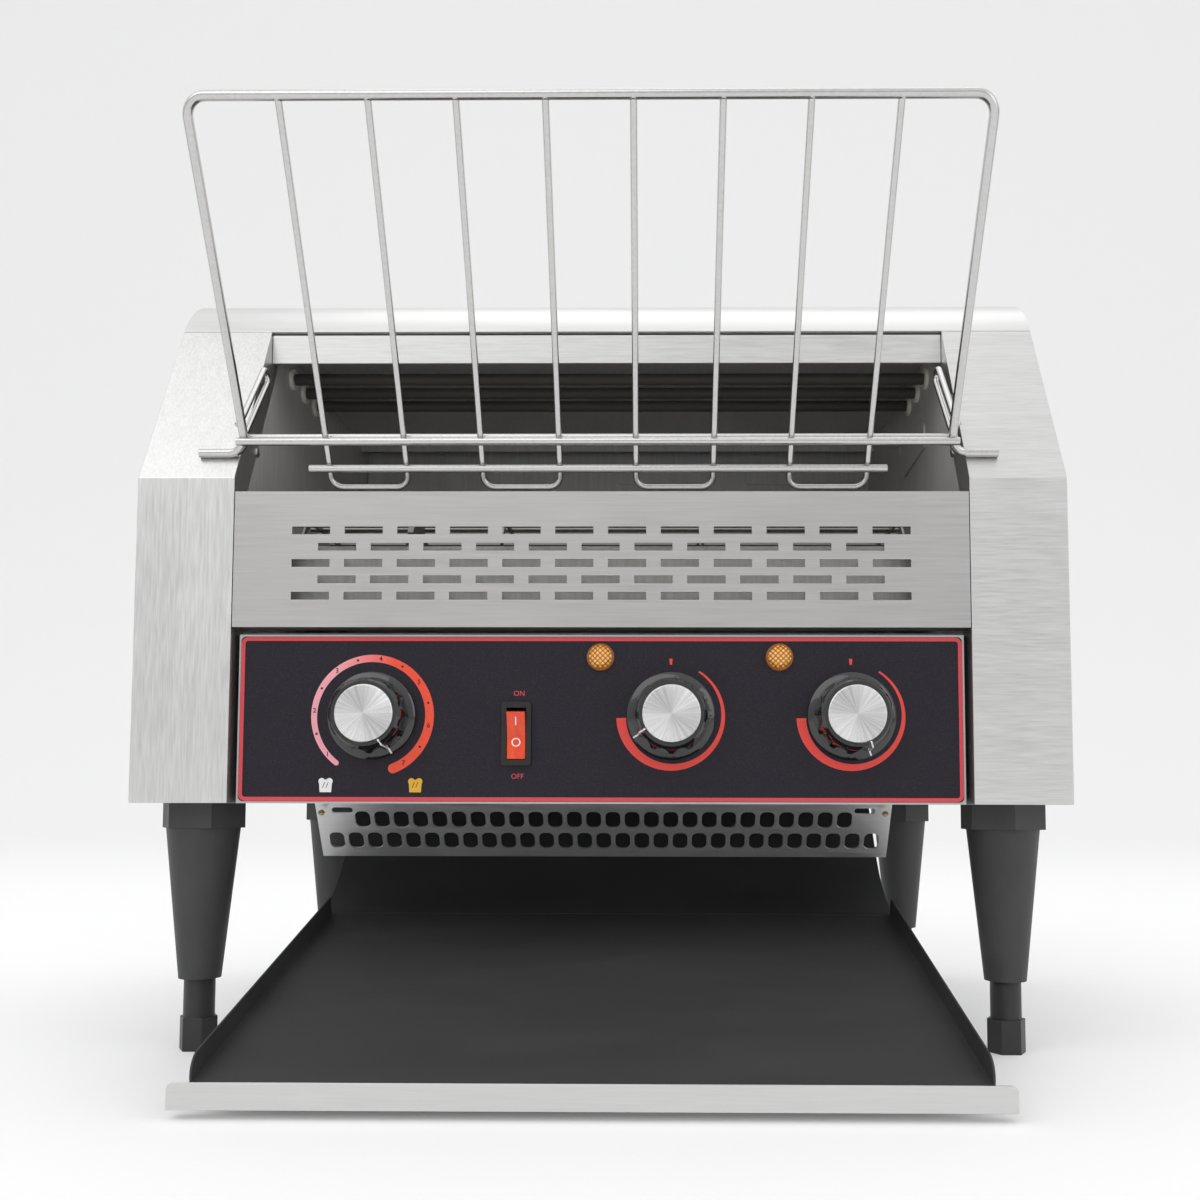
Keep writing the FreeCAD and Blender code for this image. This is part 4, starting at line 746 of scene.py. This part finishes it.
def speed_dial():
    """A band that grows from the slow end to the fast end, with numbers and dots on it."""
    centre = (KNOBS["speed_knob"][0], KNOB_Z)
    outer = 30.9
    slow, fast = (-143.0, 2.6), (158.0, 4.9)
    band = arc_band(centre, slow[0], fast[0], (outer, outer), (slow[1], fast[1]))
    for (end, thick), way in ((slow, -1.0), (fast, 1.0)):
        angle = math.radians(end)
        away = Vector((math.sin(angle), math.cos(angle)))
        ahead = Vector((math.cos(angle), -math.sin(angle))) * way
        middle = Vector(centre) + away * (outer - thick / 2)
        cap = []
        for step in range(13):
            turn = math.pi * step / 12
            cap.append(tuple(middle + (away * math.cos(turn) + ahead * math.sin(turn)) * thick / 2))
        band.append(cap)
    flat_piece("speed_band", band, speed_ink())

    first, sweep, marks = -131.0, 277.0, 13
    dots = []
    for step in range(marks):
        share = step / (marks - 1)
        angle = math.radians(first + sweep * share)
        away = outer - (2.75 + 2.1 * share) / 2
        x, z = centre[0] + away * math.sin(angle), centre[1] + away * math.cos(angle)
        if step % 2:
            dots.append(disc((x, z), 0.62))
        else:
            digit = str(step // 2 + 1)
            number = lettering(f"speed_number_{digit}", digit, x, z, 3.3, INK_BLACK)
            number.data.offset = 0.07 * MM
    flat_piece("speed_dots", dots, INK_BLACK, lift=0.06)


def heat_dial(name, x):
    """A wedge that thins from left to right under the knob, and a tick above it."""
    outer = 27.4
    wedge = arc_band((x, KNOB_Z), 268.0, 32.0, (outer, outer - 0.4), (4.9, 0.9))
    flat_piece(f"{name}_band", wedge, INK_SCARLET)
    low = KNOB_Z + outer - 1.4
    high = low + 3.0
    tick = [(x - 0.55, low), (x - 0.85, high), (x + 0.85, high), (x + 0.55, low)]
    flat_piece(f"{name}_tick", [tick], INK_SCARLET)


def slice_mark(name, x, z, material):
    """Generic slice of bread with two strokes across it."""
    outline = []
    for cx, start, end in ((-1.9, 230.0, 420.0), (1.9, -60.0, 130.0)):
        for step in range(9):
            angle = math.radians(start + (end - start) * step / 8)
            outline.append((x + cx + 1.7 * math.sin(angle), z + 2.0 + 1.7 * math.cos(angle)))
    outline += [(x + 2.9, z - 3.4), (x - 2.9, z - 3.4)]
    flat_piece(f"{name}_slice", [outline], material)
    strokes = [
        [(x + a - 0.2, z - 1.2), (x + a + 0.9, z + 1.6), (x + a + 1.25, z + 1.6), (x + a + 0.15, z - 1.2)]
        for a in (-1.5, 0.3)
    ]
    flat_piece(f"{name}_strokes", strokes, INK_BLACK, lift=0.06)


border()
speed_dial()
heat_dial("upper_heat", KNOBS["upper_heat_knob"][0])
heat_dial("lower_heat", KNOBS["lower_heat_knob"][0])
slice_mark("slow", -137.5, FLOOR + 9.0, INK_WHITE)
slice_mark("fast", -92.5, FLOOR + 9.0, INK_YELLOW)
lettering("switch_on", "ON", SWITCH[0] + 1.2, FLOOR + 55.2, 3.6, INK_RED)
lettering("switch_off", "OFF", SWITCH[0] + 0.6, FLOOR + 13.6, 3.6, INK_RED)


# Pointers of the knobs

def pointer(knob, x, clockwise):
    """White line from the cap down to the ring. The line gives radius and height."""
    angle = math.radians(clockwise)
    out = Vector((math.sin(angle), 0.0, math.cos(angle)))
    side = Vector((math.cos(angle), 0.0, -math.sin(angle)))
    centre = Vector((x, PANEL, KNOB_Z))
    mesh = bpy.data.meshes.new(f"{knob}_pointer")
    shape = bmesh.new()
    line = [(14.7, 19.4), (15.7, 19.4), (16.2, 18.6), (17.9, 17.3), (19.15, 4.6), (21.2, 3.9), (21.7, 3.2)]
    rows = []
    for radius, height in line:
        place = centre + out * radius + Vector((0.0, -height, 0.0))
        rows.append([shape.verts.new((place + side * w) * MM) for w in (-0.4, 0.4)])
    for (a, b), (c, d) in zip(rows, rows[1:]):
        shape.faces.new((a, b, d, c))
    bmesh.ops.recalc_face_normals(shape, faces=shape.faces)
    shape.to_mesh(mesh)
    shape.free()
    piece = add_piece(f"{knob}_pointer", mesh, knob, INK_WHITE)
    thick = piece.modifiers.new("thickness", "SOLIDIFY")
    thick.thickness = 0.35 * MM
    thick.offset = 0.0


for knob, (x, clockwise) in KNOBS.items():
    pointer(knob, x, clockwise)


# Baffle inside the slotted guard

def baffle():
    """Plain sheet behind the lower rows of slots, bent back along its top edge."""
    mesh = bpy.data.meshes.new("vent_baffle")
    shape = bmesh.new()
    near, low, high, fold, half_width = FRONT + 9.0, FLOOR + 90.5, FLOOR + 129.0, 2.0, 183.0
    profile = [(near, low), (near, high), (near + fold, high + fold)]
    rows = []
    for x in (-half_width, half_width):
        rows.append([shape.verts.new(Vector((x, y, z)) * MM) for y, z in profile])
    for k in range(2):
        shape.faces.new((rows[0][k], rows[1][k], rows[1][k + 1], rows[0][k + 1]))
    shape.to_mesh(mesh)
    shape.free()
    piece = add_piece("vent_baffle", mesh, "cabinet", PAINT["oven_steel"])
    thick = piece.modifiers.new("thickness", "SOLIDIFY")
    thick.thickness = 0.8 * MM
    thick.offset = 0.0


# Small fasteners

def rivet(name, place, facing, radius, height, material):
    """Domed head with a rim and a small dimple."""
    mesh = bpy.data.meshes.new(name)
    shape = bmesh.new()
    rows = []
    steps = 20
    profile = [(1.0, 0.0), (1.0, 0.35), (0.9, 0.62), (0.65, 0.88), (0.3, 0.98), (0.14, 0.99), (0.1, 0.7)]
    for share, rise in profile:
        ring = []
        for k in range(steps):
            angle = 2 * math.pi * k / steps
            x, y = radius * share * math.cos(angle), radius * share * math.sin(angle)
            ring.append(shape.verts.new((x, y, height * rise)))
        rows.append(ring)
    for low, high in zip(rows, rows[1:]):
        for k in range(steps):
            shape.faces.new((low[k], low[(k + 1) % steps], high[(k + 1) % steps], high[k]))
    shape.faces.new(rows[-1])
    shape.faces.new(rows[0][::-1])
    turn = Vector(facing).to_track_quat("Z", "Y").to_matrix().to_4x4()
    put = Matrix.Diagonal((MM, MM, MM, 1.0)) @ Matrix.Translation(Vector(place)) @ turn
    bmesh.ops.transform(shape, matrix=put, verts=shape.verts)
    shape.to_mesh(mesh)
    shape.free()
    for face in mesh.polygons:
        face.use_smooth = True
    add_piece(name, mesh, "cabinet", material)


def fasteners():
    """Bolts inside the oven and rivets on the deflector."""
    guide = FRONT + 276.9
    for number, (x, z) in enumerate(((-128.0, 352.0), (0.3, 352.0), (136.0, 352.0))):
        rivet(f"guide_bolt_{number + 1}", (x, guide, z), (0.0, -1.0, 0.0), 3.2, 1.8, BOLT)
    for side, name in ((-1, "left"), (1, "right")):
        brass = (148.5 * side, FRONT + 38.6, FLOOR - 5.0)
        rivet(f"{name}_deflector_rivet", brass, (0.0, -0.84, 0.54), 1.7, 1.2, BRASS)
        for number, (y, z) in enumerate(((-69.0, 342.0), (-72.0, 312.0), (3.0, 380.0), (38.0, 392.0))):
            rivet(f"{name}_wall_bolt_{number + 1}", (185.0 * side, y, z), (-side, 0.0, 0.0), 2.6, 1.5, BOLT)


# Marks on the rocker

def rocker_marks():
    """I on the upper half, which leans back, and O on the lower half."""
    hinge = PANEL + 2.4
    for name, mark, rise, proud, tilt in (
        ("rocker_on_mark", "I", 6.0, 6.55, 108.3),
        ("rocker_off_mark", "O", -4.6, 4.45, 90.0),
    ):
        x, z = SWITCH[0], SWITCH[1] + rise
        made = lettering(name, mark, x, z, 6.2, INK_WHITE, "power_rocker")
        made.rotation_euler = (math.radians(tilt), 0.0, 0.0)
        made.location = Vector((x, hinge - proud, z)) * MM


rocker_marks()
baffle()
fasteners()

camera()
studio()
backdrop()
